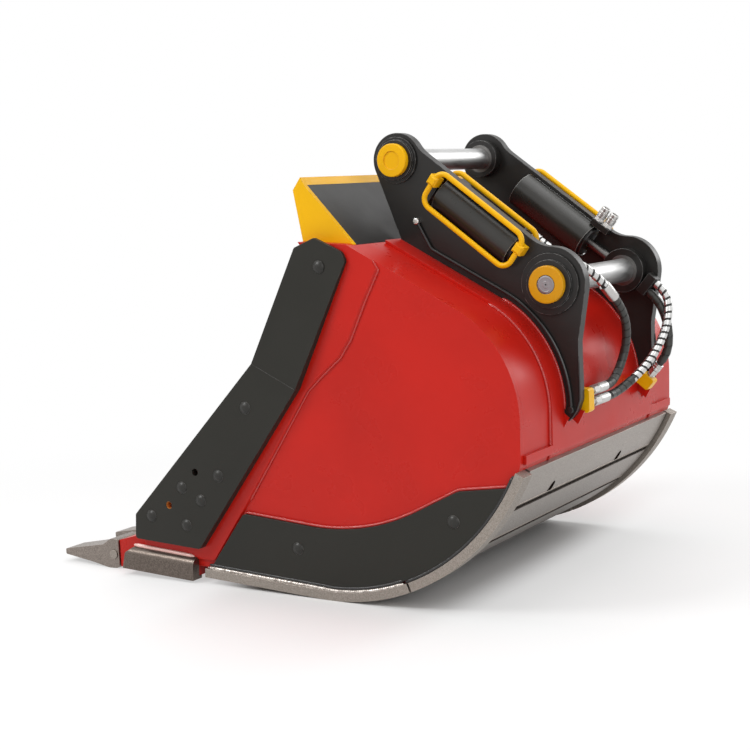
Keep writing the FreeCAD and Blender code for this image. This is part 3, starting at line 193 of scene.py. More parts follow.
class Shader:
    """A node material with the few steps that all finishes here share."""

    def __init__(self, name):
        self.material = bpy.data.materials.new(name)
        self.material.use_nodes = True
        self.nodes = self.material.node_tree.nodes
        self.links = self.material.node_tree.links
        self.bsdf = self.nodes["Principled BSDF"]
        self.place = self.nodes.new("ShaderNodeTexCoord").outputs["Object"]

    def set(self, **values):
        for name, value in values.items():
            self.bsdf.inputs[name.replace("_", " ")].default_value = value
        return self

    def link(self, out, to):
        self.links.new(out, to)

    def noise(self, scale, detail=4.0, stretch=(1.0, 1.0, 1.0), rough=0.55):
        """Noise in the object's own metres, finer along an axis with a larger stretch."""
        mapping = self.nodes.new("ShaderNodeMapping")
        mapping.inputs["Scale"].default_value = stretch
        self.link(self.place, mapping.inputs["Vector"])
        node = self.nodes.new("ShaderNodeTexNoise")
        node.inputs["Scale"].default_value = scale
        node.inputs["Detail"].default_value = detail
        node.inputs["Roughness"].default_value = rough
        self.link(mapping.outputs["Vector"], node.inputs["Vector"])
        return node.outputs["Fac"]

    def height(self):
        """Height above the ground."""
        node = self.nodes.new("ShaderNodeSeparateXYZ")
        self.link(self.place, node.inputs["Vector"])
        return node.outputs["Z"]

    def ramp(self, fac, low, high, a=0.0, b=1.0):
        """Carries fac from the range low to high over to the range a to b."""
        node = self.nodes.new("ShaderNodeMapRange")
        node.inputs["From Min"].default_value = low
        node.inputs["From Max"].default_value = high
        node.inputs["To Min"].default_value = a
        node.inputs["To Max"].default_value = b
        self.link(fac, node.inputs["Value"])
        return node.outputs["Result"]

    def math(self, kind, a, b):
        """Sum or product of two values, each a number or a socket."""
        node = self.nodes.new("ShaderNodeMath")
        node.operation = kind
        for socket, value in zip(node.inputs, (a, b)):
            if isinstance(value, float):
                socket.default_value = value
            else:
                self.link(value, socket)
        return node.outputs["Value"]

    def mix(self, fac, a, b):
        """Blend of two colours, each a tuple or a socket."""
        node = self.nodes.new("ShaderNodeMix")
        node.data_type = "RGBA"
        self.link(fac, node.inputs["Factor"])
        for socket, value in zip((node.inputs[6], node.inputs[7]), (a, b)):
            if isinstance(value, tuple):
                socket.default_value = (*value, 1.0)
            else:
                self.link(value, socket)
        return node.outputs[2]

    def rounded(self, radius):
        """Normal with the sharp edges rounded off, and a mask that is 1 on those edges."""
        node = self.nodes.new("ShaderNodeBevel")
        node.samples = 6
        node.inputs["Radius"].default_value = radius * MM
        geometry = self.nodes.new("ShaderNodeNewGeometry")
        dot = self.nodes.new("ShaderNodeVectorMath")
        dot.operation = "DOT_PRODUCT"
        self.link(node.outputs["Normal"], dot.inputs[0])
        self.link(geometry.outputs["Normal"], dot.inputs[1])
        return node.outputs["Normal"], self.ramp(dot.outputs["Value"], 0.99, 0.84)

    def bump(self, height, strength, distance, normal=None):
        """Normal that follows a height; distance is in millimetres."""
        node = self.nodes.new("ShaderNodeBump")
        node.inputs["Strength"].default_value = strength
        node.inputs["Distance"].default_value = distance * MM
        self.link(height, node.inputs["Height"])
        if normal is not None:
            self.link(normal, node.inputs["Normal"])
        return node.outputs["Normal"]


def paint(name, colour, rough, edge_wear_and_highlight_colour, shine=0.5, peel=0.25, dark=0.86, edge=0.55, radius=1.6,
          chips=(0.38, 0.62)):
    """Sprayed paint over plate: uneven tone, orange peel, and a patchy line of another colour on the
    edges: rubbed or chipped wear, and where that colour is lighter also a painted highlight along the
    edges.
    """
    s = Shader(name)
    s.set(Specular_IOR_Level=shine)
    cloud = s.ramp(s.noise(3.5, 5.0), 0.3, 0.7)
    deep = tuple(c * dark for c in colour)
    tone = s.mix(cloud, deep, colour)
    normal, mask = s.rounded(radius)
    scuff = s.ramp(s.noise(60.0, 6.0), *chips)
    # Painted highlight and wear: the edge colour is laid along the rounded edges, patchy where the scuff
    # noise is low.
    wear_and_highlight_mask = s.math("MULTIPLY", s.math("MULTIPLY", mask, scuff), edge)
    s.link(s.mix(wear_and_highlight_mask, tone, edge_wear_and_highlight_colour), s.bsdf.inputs["Base Color"])
    patch = s.ramp(s.noise(9.0, 6.0), 0.35, 0.7, rough * 0.85, rough * 1.2)
    s.link(patch, s.bsdf.inputs["Roughness"])
    fine = s.bump(s.noise(420.0, 2.0), peel * 0.4, 0.25, normal)
    s.link(s.bump(s.noise(30.0, 1.0), peel * 0.3, 0.1, fine), s.bsdf.inputs["Normal"])
    return s.material


def steel(name, colour, dark, rough, metal=0.9, grain=260.0, stretch=(1.0, 1.0, 1.0), pits=0.5, edge=0.5,
          cloudy=0.3, low=None):
    """Bare plate: rolled grain, dark specks and bright edges that are partly rubbed wear and partly a
    painted highlight; low is a painted shade colour that the plate takes towards the ground.
    """
    s = Shader(name)
    s.set(Metallic=metal)
    cloud = s.ramp(s.noise(4.0, 3.0, stretch), 0.3, 0.7)
    speck = s.ramp(s.noise(grain, 3.0, stretch), 0.38, 0.62)
    tone = s.mix(speck, dark, colour)
    tone = s.mix(s.math("MULTIPLY", cloud, cloudy), tone, tuple(c * 0.72 for c in colour))
    if low is not None:
        # Painted shade: towards the ground the colour turns to low.
        tone = s.mix(s.ramp(s.height(), *PAINTED_SHADE_LOW_ZONE), low, tone)
    normal, mask = s.rounded(1.4)
    # Painted highlight and wear: bright is laid along the rounded edges.
    bright = tuple(min(1.0, c * 1.7) for c in colour)
    s.link(s.mix(s.math("MULTIPLY", mask, edge), tone, bright), s.bsdf.inputs["Base Color"])
    s.link(s.ramp(speck, 0.0, 1.0, rough * 1.25, rough * 0.85), s.bsdf.inputs["Roughness"])
    fine = s.bump(speck, pits * 0.5, 0.25, normal)
    s.link(s.bump(s.noise(grain * 0.2, 4.0, stretch), pits * 0.5, 0.8, fine), s.bsdf.inputs["Normal"])
    return s.material


def bright_metal(name, colour, rough, grain=900.0, stretch=(1.0, 0.02, 1.0)):
    """Ground or plated metal with a fine turned grain."""
    s = Shader(name)
    s.set(Metallic=1.0)
    smear = s.ramp(s.noise(14.0, 5.0), 0.3, 0.7)
    s.link(s.mix(smear, tuple(c * 0.88 for c in colour), colour), s.bsdf.inputs["Base Color"])
    line = s.noise(grain, 2.0, stretch)
    s.link(s.ramp(line, 0.3, 0.7, rough * 0.8, rough * 1.3), s.bsdf.inputs["Roughness"])
    normal, _ = s.rounded(0.6)
    s.link(s.bump(line, 0.08, 0.1, normal), s.bsdf.inputs["Normal"])
    return s.material


def ball_fitting(name, black, bright):
    """Line ends: bare metal above a height, black below it."""
    s = Shader(name)
    high = s.ramp(s.height(), *BRIGHT_ABOVE)
    s.link(s.mix(high, black, bright), s.bsdf.inputs["Base Color"])
    s.link(high, s.bsdf.inputs["Metallic"])
    s.link(s.ramp(s.noise(300.0, 3.0), 0.3, 0.7, 0.24, 0.36), s.bsdf.inputs["Roughness"])
    normal, _ = s.rounded(0.8)
    s.link(s.bump(s.noise(260.0, 3.0), 0.2, 0.2, normal), s.bsdf.inputs["Normal"])
    return s.material


def rubber(name, colour, rough):
    """Hose cover with a fine wrapped weave and some dust."""
    s = Shader(name)
    dust = s.ramp(s.noise(45.0, 5.0), 0.45, 0.75)
    s.link(s.mix(s.math("MULTIPLY", dust, 0.35), colour, (0.06, 0.055, 0.05)), s.bsdf.inputs["Base Color"])
    weave = s.noise(1500.0, 1.0, (1.0, 1.0, 0.4))
    s.link(s.ramp(dust, 0.0, 1.0, rough * 0.85, rough * 1.15), s.bsdf.inputs["Roughness"])
    s.link(s.bump(weave, 0.3, 0.2), s.bsdf.inputs["Normal"])
    return s.material


def make_materials():
    """Every finish by its name."""
    return {
        # The lighter edge colours of these paints are partly rubbed wear and partly a painted highlight
        # along the edges.
        "red_paint": paint("red_paint", (0.52, 0.012, 0.006), 0.30, (0.72, 0.07, 0.05), shine=0.22),
        "dark_paint": paint("dark_paint", (0.023, 0.022, 0.018), 0.42, (0.16, 0.15, 0.14), peel=0.4,
                            shine=0.2),
        "panel_paint": paint("panel_paint", (0.024, 0.023, 0.022), 0.34, (0.2, 0.2, 0.2), peel=0.3,
                             shine=0.3),
        # Black paint: its grey edge line is mostly a painted highlight on the ears' edges.
        "black_paint": paint("black_paint", (0.012, 0.011, 0.010), 0.34, (0.30, 0.29, 0.28), peel=0.5,
                             edge=0.8, radius=2.6, shine=0.35),
        "foot_paint": paint("foot_paint", (0.012, 0.011, 0.010), 0.34, (0.05, 0.05, 0.05), peel=0.5,
                            edge=0.0, radius=0.2, shine=0.35),
        # Painted shade: flat dark paint for the shade inside the heel's notches.
        "dark_hole": paint("dark_hole", (0.012, 0.009, 0.008), 0.9, (0.03, 0.025, 0.02), edge=0.0,
                           shine=0.0),
        # Barrel paint: the pale line round the barrels' ends is a painted highlight.
        "barrel_paint": paint("barrel_paint", (0.018, 0.017, 0.014), 0.32, (0.4, 0.39, 0.37), peel=0.4,
                              shine=0.5, edge=1.0, radius=3.0, chips=(0.2, 0.4)),
        "yellow_paint": paint("yellow_paint", (0.88, 0.47, 0.002), 0.33, (0.9, 0.6, 0.14), shine=0.2),
        # Ring paint: a darker yellow than yellow_paint, with a patchy dark line along its edges.
        "ring_paint": paint("ring_paint", (0.66, 0.31, 0.004), 0.33, (0.02, 0.016, 0.012), shine=0.25,
                            edge=1.0, radius=3.0, chips=(0.46, 0.52)),
        # Wear steel: its low colour is painted shade, darker towards the ground.
        "wear_steel": steel("wear_steel", (0.37, 0.335, 0.305), (0.32, 0.29, 0.265), 0.40, grain=340.0,
                            pits=0.12, cloudy=0.25, low=(0.14, 0.12, 0.105)),
        # Seam steel: very dark brown, partly the seams' own steel and partly painted shade of the recessed
        # seams.
        "seam_steel": steel("seam_steel", (0.06, 0.044, 0.036), (0.025, 0.018, 0.015), 0.6, grain=200.0,
                            pits=0.8),
        "edge_steel": steel("edge_steel", (0.36, 0.32, 0.285), (0.25, 0.22, 0.19), 0.46, grain=420.0,
                            pits=0.35),
        # Wing and cast steel: their strong light edge lines are partly a painted highlight.
        "wing_steel": steel("wing_steel", (0.17, 0.14, 0.12), (0.10, 0.08, 0.068), 0.34, grain=300.0,
                            pits=0.35, edge=0.8),
        "cast_steel": steel("cast_steel", (0.29, 0.25, 0.22), (0.19, 0.16, 0.14), 0.38, grain=240.0,
                            pits=0.4, edge=0.8),
        # Bolt paint: the pale line round the bolt heads is a painted highlight.
        "bolt_steel": paint("bolt_steel", (0.023, 0.022, 0.019), 0.34, (0.22, 0.21, 0.20), edge=1.0,
                            radius=2.0, shine=0.3),
        "weld_red": paint("weld_red", (0.46, 0.015, 0.010), 0.20, (0.7, 0.12, 0.1), shine=0.6, peel=0.8),
        # Painted glint: the red-painted wing welds are drawn pale pink for their glints.
        "weld_pale": paint("weld_pale", (0.85, 0.50, 0.45), 0.2, (0.95, 0.8, 0.75), shine=1.0, peel=1.0),
        "weld_bright": steel("weld_bright", (0.62, 0.57, 0.52), (0.2, 0.17, 0.15), 0.3, grain=140.0),
        "ball_fitting": ball_fitting("ball_fitting", (0.012, 0.011, 0.010), (0.7, 0.69, 0.67)),
        "black_line": paint("black_line", (0.015, 0.014, 0.014), 0.25, (0.2, 0.2, 0.2), peel=0.7),
        "chrome": bright_metal("chrome", (0.53, 0.53, 0.525), 0.36),
        "plated": bright_metal("plated", (0.60, 0.59, 0.575), 0.3),
        "dark_steel": bright_metal("dark_steel", (0.16, 0.155, 0.15), 0.4),
        "pin_end": bright_metal("pin_end", (0.30, 0.29, 0.30), 0.42),
        "guard_steel": bright_metal("guard_steel", (0.62, 0.62, 0.61), 0.32),
        "hose_rubber": rubber("hose_rubber", (0.012, 0.012, 0.011), 0.5),
        "wrap_plastic": rubber("wrap_plastic", (0.022, 0.022, 0.019), 0.45),
        "primer": paint("primer", (0.55, 0.18, 0.03), 0.5, (0.6, 0.3, 0.1)),
    }


NODE_FINISH = {
    "deflector_panel": "panel_paint", "edge_strips": "edge_steel", "wing_shroud": "wing_steel",
    "wear_seams": "seam_steel", "rear_ring": "ring_paint", "lock_cylinder_barrel": "barrel_paint",
    "lock_rod": "dark_steel", "front_bushes": "dark_steel", "rear_bushes": "dark_steel",
    "line_fittings": "ball_fitting", "tooth_pins": "edge_steel",
}


def dress_nodes(materials):
    """Every solid gets its own finish and smooth round faces with crisp edges."""
    group = bpy.data.node_groups.new("smooth_by_angle", "GeometryNodeTree")
    group.interface.new_socket("Geometry", in_out="INPUT", socket_type="NodeSocketGeometry")
    group.interface.new_socket("Geometry", in_out="OUTPUT", socket_type="NodeSocketGeometry")
    start = group.nodes.new("NodeGroupInput")
    end = group.nodes.new("NodeGroupOutput")
    weld = group.nodes.new("GeometryNodeMergeByDistance")
    weld.inputs["Distance"].default_value = MERGE_DISTANCE
    faces = group.nodes.new("GeometryNodeSetShadeSmooth")
    edges = group.nodes.new("GeometryNodeSetShadeSmooth")
    edges.domain = "EDGE"
    edges.inputs["Shade Smooth"].default_value = False
    angle = group.nodes.new("GeometryNodeInputMeshEdgeAngle")
    sharp = group.nodes.new("FunctionNodeCompare")
    sharp.operation = "GREATER_THAN"
    sharp.inputs["B"].default_value = math.radians(SMOOTH_ANGLE)
    group.links.new(start.outputs[0], weld.inputs["Geometry"])
    group.links.new(weld.outputs["Geometry"], faces.inputs["Geometry"])
    group.links.new(faces.outputs["Geometry"], edges.inputs["Geometry"])
    group.links.new(angle.outputs["Unsigned Angle"], sharp.inputs["A"])
    group.links.new(sharp.outputs["Result"], edges.inputs["Selection"])
    group.links.new(edges.outputs["Geometry"], end.inputs[0])
    slots = {s["node"]: s["material_slot"] for s in frame["record"]["subparts"]}
    for name, node in NODES.items():
        finish = slots[name]
        for start_of_name, other in NODE_FINISH.items():
            if name.startswith(start_of_name):
                finish = other
        node.data.materials.clear()
        node.data.materials.append(materials[finish])
        modifier = node.modifiers.new("smooth", "NODES")
        modifier.node_group = group


# Shapes made here

def add_mesh(name, points, faces, material, slot, body="root"):
    """New smooth piece that rides on a body."""
    mesh = bpy.data.meshes.new(name)
    mesh.from_pydata([tuple(p) for p in points], [], faces)
    mesh.polygons.foreach_set("use_smooth", [True] * len(mesh.polygons))
    mesh.update()
    piece = bpy.data.objects.new(name, mesh)
    bpy.context.scene.collection.objects.link(piece)
    mesh.materials.append(material)
    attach(piece, body)
    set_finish(piece, slot)
    return piece


def rounded_line(points, step=6.0):
    """Flat line through corners (x, z, radius), with the round ones sampled as arcs."""
    pts = [(p[0], p[1], p[2] if len(p) > 2 else 0.0) for p in points]
    out = []
    for i, (x, z, r) in enumerate(pts):
        if r <= 0 or i in (0, len(pts) - 1):
            out.append((x, z))
            continue
        before, after = Vector(pts[i - 1][:2]), Vector(pts[i + 1][:2])
        here = Vector((x, z))
        a, b = (before - here).normalized(), (after - here).normalized()
        half = a.angle(b) / 2
        centre = here + (a + b).normalized() * (r / math.sin(half))
        p, q = here + a * (r / math.tan(half)) - centre, here + b * (r / math.tan(half)) - centre
        turn = p.angle_signed(q)
        count = max(2, int(abs(turn) * r / step))
        start = math.atan2(p.y, p.x)
        for k in range(count + 1):
            angle = start - turn * k / count
            out.append((centre.x + r * math.cos(angle), centre.y + r * math.sin(angle)))
    return out


def evenly(points, step):
    """Points every step along a line of vectors."""
    out = [points[0].copy()]
    need = step
    for a, b in zip(points, points[1:]):
        length = (b - a).length
        done = 0.0
        while length - done >= need:
            done += need
            out.append(a.lerp(b, done / length))
            need = step
        need -= length - done
    return out


def frames_along(points):
    """A sideways and an upward direction at each point, carried along without twist."""
    tangents = []
    for i in range(len(points)):
        a, b = points[max(0, i - 1)], points[min(len(points) - 1, i + 1)]
        tangents.append((b - a).normalized())
    side = tangents[0].orthogonal().normalized()
    out = []
    for t in tangents:
        side = (side - t * side.dot(t)).normalized()
        out.append((side.copy(), t.cross(side).normalized(), t))
    return out


def ring_faces(rings, sides):
    """Quads between neighbouring rings of points."""
    faces = []
    for i in range(rings - 1):
        for k in range(sides):
            j = (k + 1) % sides
            faces.append((i * sides + k, i * sides + j, (i + 1) * sides + j, (i + 1) * sides + k))
    return faces


def strip_faces(steps, turned):
    """Faces of a bar with four points in each section; turned flips the long ones."""
    faces = []
    for i in range(steps):
        a, b = i * 4, (i + 1) * 4
        for p, q in ((0, 1), (1, 3), (3, 2), (2, 0)):
            face = (a + p, a + q, b + q, b + p)
            faces.append((face[0], face[3], face[2], face[1]) if turned else face)
    last = steps * 4
    caps = [(0, 2, 3, 1), (last, last + 1, last + 3, last + 2)]
    if turned:
        caps = [(0, 1, 3, 2), (last, last + 2, last + 3, last + 1)]
    return faces + caps


def swept(name, points, radius_at, material, slot, sides=10, flat=1.0, body="root"):
    """Closed round bar along points; radius_at(index) gives its radius in metres."""
    verts = []
    for i, (p, (side, up, _)) in enumerate(zip(points, frames_along(points))):
        r = radius_at(i)
        for k in range(sides):
            a = 2 * math.pi * k / sides
            verts.append(p + side * (r * math.cos(a)) + up * (r * flat * math.sin(a)))
    last = (len(points) - 1) * sides
    faces = ring_faces(len(points), sides)
    faces.append(tuple(range(sides))[::-1])
    faces.append(tuple(last + k for k in range(sides)))
    return add_mesh(name, verts, faces, material, slot, body)


def weld_bead(name, points, radius, material, slot, seed=1):
    """Run of overlapping weld ripples along a line in millimetres."""
    rng = random.Random(seed)
    line = evenly([at(*p) for p in points], BEAD_STEP * MM)
    ripples = [rng.uniform(0.8, 1.2) for _ in range(len(line))]

    def radius_at(i):
        count = i * BEAD_STEP / RIPPLE
        to_end = min(i, len(line) - 1 - i)
        end = min(1.0, BEAD_END + to_end * BEAD_TAPER)
        swell = math.sin(math.pi * (count % 1.0)) * ripples[int(count) % len(ripples)]
        return radius * MM * end * (1.0 - RIPPLE_DEPTH + RIPPLE_DEPTH * swell)

    return swept(name, line, radius_at, material, slot, sides=8)


def lathe(name, start, axis, profile, material, slot, sides=40, hexes=(), body="root", bored=False):
    """Turned piece: profile is (distance along the axis, radius) in mm; hexes lists flat stretches."""
    axis = axis.normalized()
    side = axis.orthogonal().normalized()
    up = axis.cross(side)
    verts = []
    for run, r in profile:
        for k in range(sides):
            a = 2 * math.pi * k / sides
            rr = r
            for low, high in hexes:
                if low <= run <= high:
                    rr = r * math.cos(math.pi / 6) / math.cos((a % (math.pi / 3)) - math.pi / 6)
            verts.append(start + axis * (run * MM) + (side * math.cos(a) + up * math.sin(a)) * (rr * MM))
    last = (len(profile) - 1) * sides
    faces = ring_faces(len(profile), sides)
    if bored:
        for k in range(sides):
            j = (k + 1) % sides
            faces.append((last + k, last + j, j, k))
    else:
        faces.append(tuple(range(sides))[::-1])
        faces.append(tuple(last + k for k in range(sides)))
    piece = add_mesh(name, verts, faces, material, slot, body)
    crisp(piece)
    return piece


def crisp(piece):
    """Smooth round faces with sharp edges, as on the solids."""
    modifier = piece.modifiers.new("smooth", "NODES")
    modifier.node_group = bpy.data.node_groups["smooth_by_angle"]


def joined(name, pieces):
    """One object from several that share a body."""
    verts, faces = [], []
    for piece in pieces:
        base = len(verts)
        verts += [v.co.copy() for v in piece.data.vertices]
        faces += [tuple(base + i for i in p.vertices) for p in piece.data.polygons]
    material = pieces[0].data.materials[0]
    slot = pieces[0]["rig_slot"]
    body = body_of(pieces[0])[0]
    for piece in pieces:
        bpy.data.objects.remove(piece)
    return add_mesh(name, verts, faces, material, slot, body)


# Hoses

def hose(name, route, materials):
    """Cover of a hose along its route, as a cord in place of the solid."""
    curve = bpy.data.curves.new(name + "_cover", "CURVE")
    curve.dimensions = "3D"
    spline = curve.splines.new("NURBS")
    spline.points.add(len(route) - 1)
    for point, place in zip(spline.points, route):
        point.co = (*at(*place), 1.0)
    spline.order_u = 3
    spline.use_endpoint_u = True
    spline.resolution_u = 16
    curve.bevel_depth = HOSE_D / 2 * MM
    curve.bevel_resolution = 8
    curve.use_fill_caps = True
    piece = bpy.data.objects.new(name + "_cover", curve)
    bpy.context.scene.collection.objects.link(piece)
    curve.materials.append(materials["hose_rubber"])
    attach(piece, "root")
    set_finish(piece, "hose_rubber")
    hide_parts(name)
    return piece


def centreline(piece):
    """Points of a hose's middle line, read from its own spline."""
    bare = piece.copy()
    bare.data = piece.data.copy()
    bare.data.bevel_depth = 0.0
    bpy.context.scene.collection.objects.link(bare)
    bpy.context.view_layer.update()
    mesh = bpy.data.meshes.new_from_object(bare)
    points = [v.co.copy() for v in mesh.vertices]
    bpy.data.objects.remove(bare)
    bpy.data.meshes.remove(mesh)
    return points


def spiral_guard(name, line, start, end, pitch, width, thick, material, slot):
    """Flat strip wound round a hose between two distances along it, in millimetres."""
    fine = evenly(line, MM)
    frames = frames_along(fine)
    inner = HOSE_D / 2 + GUARD_FIT
    outer = inner + thick
    verts = []
    steps = int((end - start) / pitch * TURN_STEPS)
    for i in range(steps + 1):
        middle = start + (end - start) * i / steps
        turn = 2 * math.pi * (middle - start) / pitch
        for offset in (-width / 2, width / 2):
            where = min(max(middle + offset, start), end)
            index = min(len(fine) - 1, max(0, int(where)))
            side, up, _ = frames[index]
            ray = side * math.cos(turn) + up * math.sin(turn)
            for r in (inner, outer):
                verts.append(fine[index] + ray * (r * MM))
    crisp(add_mesh(name, verts, strip_faces(steps, False), material, slot))


def build_hoses(materials):
    """Three hoses with the guards wound round them and one sleeve."""
    for name, route in (("hose_a", HOSE_A), ("hose_b", HOSE_B), ("hose_c", HOSE_C)):
        piece = hose(name, route, materials)
        line = centreline(piece)
        total = sum((b - a).length for a, b in zip(line, line[1:])) / MM
        steel_to = {"hose_a": SLEEVE_AT[0], "hose_b": total - BARE_END_B}.get(name)
        wrap_from = WRAP_END
        if steel_to:
            spiral_guard("guard_strip_" + name[-1], line, GUARD_START, steel_to, *STEEL_GUARD,
                         materials["guard_steel"], "plated")
            wrap_from = steel_to + WRAP_GAP
        if name == "hose_a":
            wrap_from = SLEEVE_AT[1]
            sleeve(line, *SLEEVE_AT, materials)
        spiral_guard("wrap_" + name[-1], line, wrap_from, total - WRAP_END, *PLASTIC_WRAP,
                     materials["wrap_plastic"], "hose_rubber")


def sleeve(line, start, end, materials):
    """Plated joining sleeve round the near hose."""
    fine = evenly(line, MM)
    a, b = fine[int(start)], fine[int(end)]
    run = (b - a).length / MM
    profile = [(0, 10.4), (0, 13.5), (2, 14.5), (run - 2, 14.5), (run, 13.5), (run, 10.4)]
    lathe("hose_sleeve", a, b - a, profile, materials["plated"], "plated")


def fitting_profile(run, r):
    """Crimped ferrule that starts at the hose end."""
    out = [(0.0, r * 0.86), (0.6, r)]
    grooves = max(1, int(run / 9))
    for k in range(grooves):
        low = 3.0 + k * (run - 5.0) / grooves
        out += [(low, r), (low + 1.0, r * 0.9), (low + 3.0, r * 0.9), (low + 4.0, r)]
    out += [(run - 0.6, r), (run, r * 0.9)]
    return out


def build_fittings(materials):
    """Ferrules, nuts and adapters at the hose ends."""
    ends = [("hose_a_start", HOSE_A[0], HOSE_A[1], STUB_END),
            ("hose_a_end", HOSE_A[-1], HOSE_A[-2], LONG_END),
            ("hose_b_end", HOSE_B[-1], HOSE_B[-2], LONG_END),
            ("hose_c_end", HOSE_C[-1], HOSE_C[-2], SHORT_END)]
    pieces = []
    for name, end, before, (ferrule, adapter) in ends:
        start = at(*end)
        axis = start - at(*before)
        profile = fitting_profile(ferrule * 0.62, FERRULE_D / 2)
        nut_low, nut_high = ferrule * 0.62 + 1.0, ferrule
        profile += [(nut_low, 9.5), (nut_low, 13.0), (nut_high, 13.0), (nut_high, 9.0)]
        if adapter:
            profile += [(ferrule + adapter * 0.45, 9.0), (ferrule + adapter * 0.45, 11.0),
                        (ferrule + adapter, 11.0)]
        pieces.append(lathe("fitting_" + name, start, axis, profile, materials["plated"], "plated",
                            hexes=((nut_low, nut_high),), sides=48))
    whole = joined("hose_end_fittings", pieces)
    crisp(whole)
    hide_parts("hose_fittings")


def build_couplers(materials):
    """Two plated quick couplers: hexagon, knurled sleeve, and the open nose with its valve."""
    slope = math.radians(EAR_SLOPE)
    axis = Vector((math.sin(slope), 0.0, math.cos(slope)))
    pieces = []
    for index, along in enumerate(COUPLER_AT):
        x, z = on_ear(along, COUPLER_FOOT)
        profile = [(0.0, 12.0), (0.5, 14.5), (11.0, 14.5), (11.5, 11.0), (13.5, 11.0), (13.5, 13.4)]
        for ridge in range(5):
            low = 14.0 + ridge * 3.4
            profile += [(low, 14.0), (low + 2.0, 14.0), (low + 2.3, 13.0), (low + 3.2, 13.0)]
        profile += [(31.0, 13.4), (31.0, 11.6), (33.0, 11.6), (33.5, 12.6), (40.5, 12.6), (42.0, 11.4),
                    (42.0, 8.6), (36.0, 8.2), (36.0, 4.4), (39.5, 3.4)]
        pieces.append(lathe("coupler_%d" % index, at(x, COUPLER_Y, z), axis, profile, materials["plated"],
                            "plated", hexes=((0.0, 11.0),), sides=48))
    whole = joined("coupler_pair", pieces)
    crisp(whole)
    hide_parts("quick_couplers")


# Small forms that only the looks need

def slab(name, outline, y_low, y_high, material, slot):
    """Flat plate between two distances from the middle."""
    count = len(outline)
    verts = [at(x, y, z) for y in (y_low, y_high) for x, z in outline]
    faces = [tuple(range(count)), tuple(range(count, 2 * count))[::-1]]
    for i in range(count):
        j = (i + 1) % count
        faces.append((j, i, count + i, count + j))
    piece = add_mesh(name, verts, faces, material, slot)
    crisp(piece)
    return piece


def build_ear_feet(materials):
    """The ears' rounded feet, and the fins that hold them on the shell."""
    fins = []
    for side, sign in (("left", -1), ("right", 1)):
        faces = sorted((sign * (EAR_IN - 0.3), sign * (EAR_OUT + 0.3)))
        slab("ear_foot_" + side, EAR_FOOT, *faces, materials["foot_paint"], "black_paint")
        for kind, outline, near in (("outer", FIN_OUTER, EAR_OUT), ("inner", FIN_INNER, EAR_IN - FIN_T)):
            faces = sorted((sign * near, sign * (near + FIN_T)))
            name = "fin_%s_%s" % (kind, side)
            fins.append(slab(name, outline, *faces, materials["red_paint"], "red_paint"))
        line = [(x, sign * (EAR_OUT - 0.5), z) for x, z in EAR_FOOT[3:]]
        weld_bead("weld_foot_" + side, line, 2.6, materials["black_line"], "black_paint", 11)
    whole = joined("ear_fins", fins)
    crisp(whole)
    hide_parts("ear_gussets")


def build_pin_ends(materials):
    """The rear pin's turned end with its centre drilling, inside a dark joint against the ring."""
    for side, sign in (("left", -1), ("right", 1)):
        start = at(REAR_PIN[0], sign * (PIN_END_Y - 0.4), REAR_PIN[1])
        axis = Vector((0.0, sign, 0.0))
        body = "rear_pin_body"
        disc = [(0.0, 22.6), (0.8, 22.6), (1.2, 21.8), (1.2, 17.0), (0.9, 16.6), (0.9, 9.0), (1.2, 8.6),
                (1.2, 2.6), (0.5, 2.2)]
        lathe("pin_end_" + side, start, axis, disc, materials["pin_end"], "chrome", body=body)
        lathe("pin_dot_" + side, start, axis, [(0.4, 2.4), (0.9, 2.0)], materials["black_line"],
              "black_line", sides=20, body=body)
        lathe("pin_joint_" + side, start, axis, [(0.0, 22.6), (1.4, 22.6), (1.4, 25.4), (0.0, 25.4)],
              materials["black_line"], "black_line", body=body, bored=True)


def build_cutter_details(materials):
    """The fold line of each side cutter and the lining of its spare bolt hole."""
    for side, sign in (("left", -1), ("right", 1)):
        face = sign * CUTTER_FACE
        line = evenly([at(x, face, z) for x, z in FOLD_LINE], 0.004)
        swept("fold_" + side, line, lambda i: FOLD_R * MM, materials["bolt_steel"], "dark_paint", sides=6)
        start = at(SPARE_HOLE[0], face - sign * 2.0, SPARE_HOLE[1])
        lathe("hole_lining_" + side, start, Vector((0.0, -sign, 0.0)),
              [(0.0, HOLE_R), (20.0, HOLE_R), (20.0, HOLE_R - 1.2), (0.0, HOLE_R - 1.2)],
              materials["primer"], "red_paint", bored=True)


def on_heel(turn, radius):
    """Place in the side view at a turn, in degrees, and a distance from the heel's centre."""
    a = math.radians(turn)
    return HEEL[0] + radius * math.cos(a), HEEL[1] + radius * math.sin(a)


def strip_height(x):
    """Height of the side strips' lower face in front of the heel."""
    return STRIP_FOOT[1] - (x - STRIP_FOOT[0]) * math.tan(math.radians(FLOOR_SLOPE))


def turns(low, high, step=2.0):
    """Evenly spaced turns from low to high."""
    count = max(2, int((high - low) / step))
    return [low + (high - low) * i / count for i in range(count + 1)]


def patch(name, y, span, radius, tapered, material):
    """Thin curved piece on the wear plates, with a rounded end where it is tapered."""
    verts = []
    steps = 12
    for i in range(steps + 1):
        share = i / steps
        half = NOTCH_HALF
        if tapered:
            half *= math.sqrt(max(0.02, 1.0 - share ** 4))
        for r in (radius, radius - 6.0):
            x, z = on_heel(span[0] + (span[1] - span[0]) * share, r)
            verts += [at(x, y - half, z), at(x, y + half, z)]
    crisp(add_mesh(name, verts, strip_faces(steps, True), material, "wear_steel"))


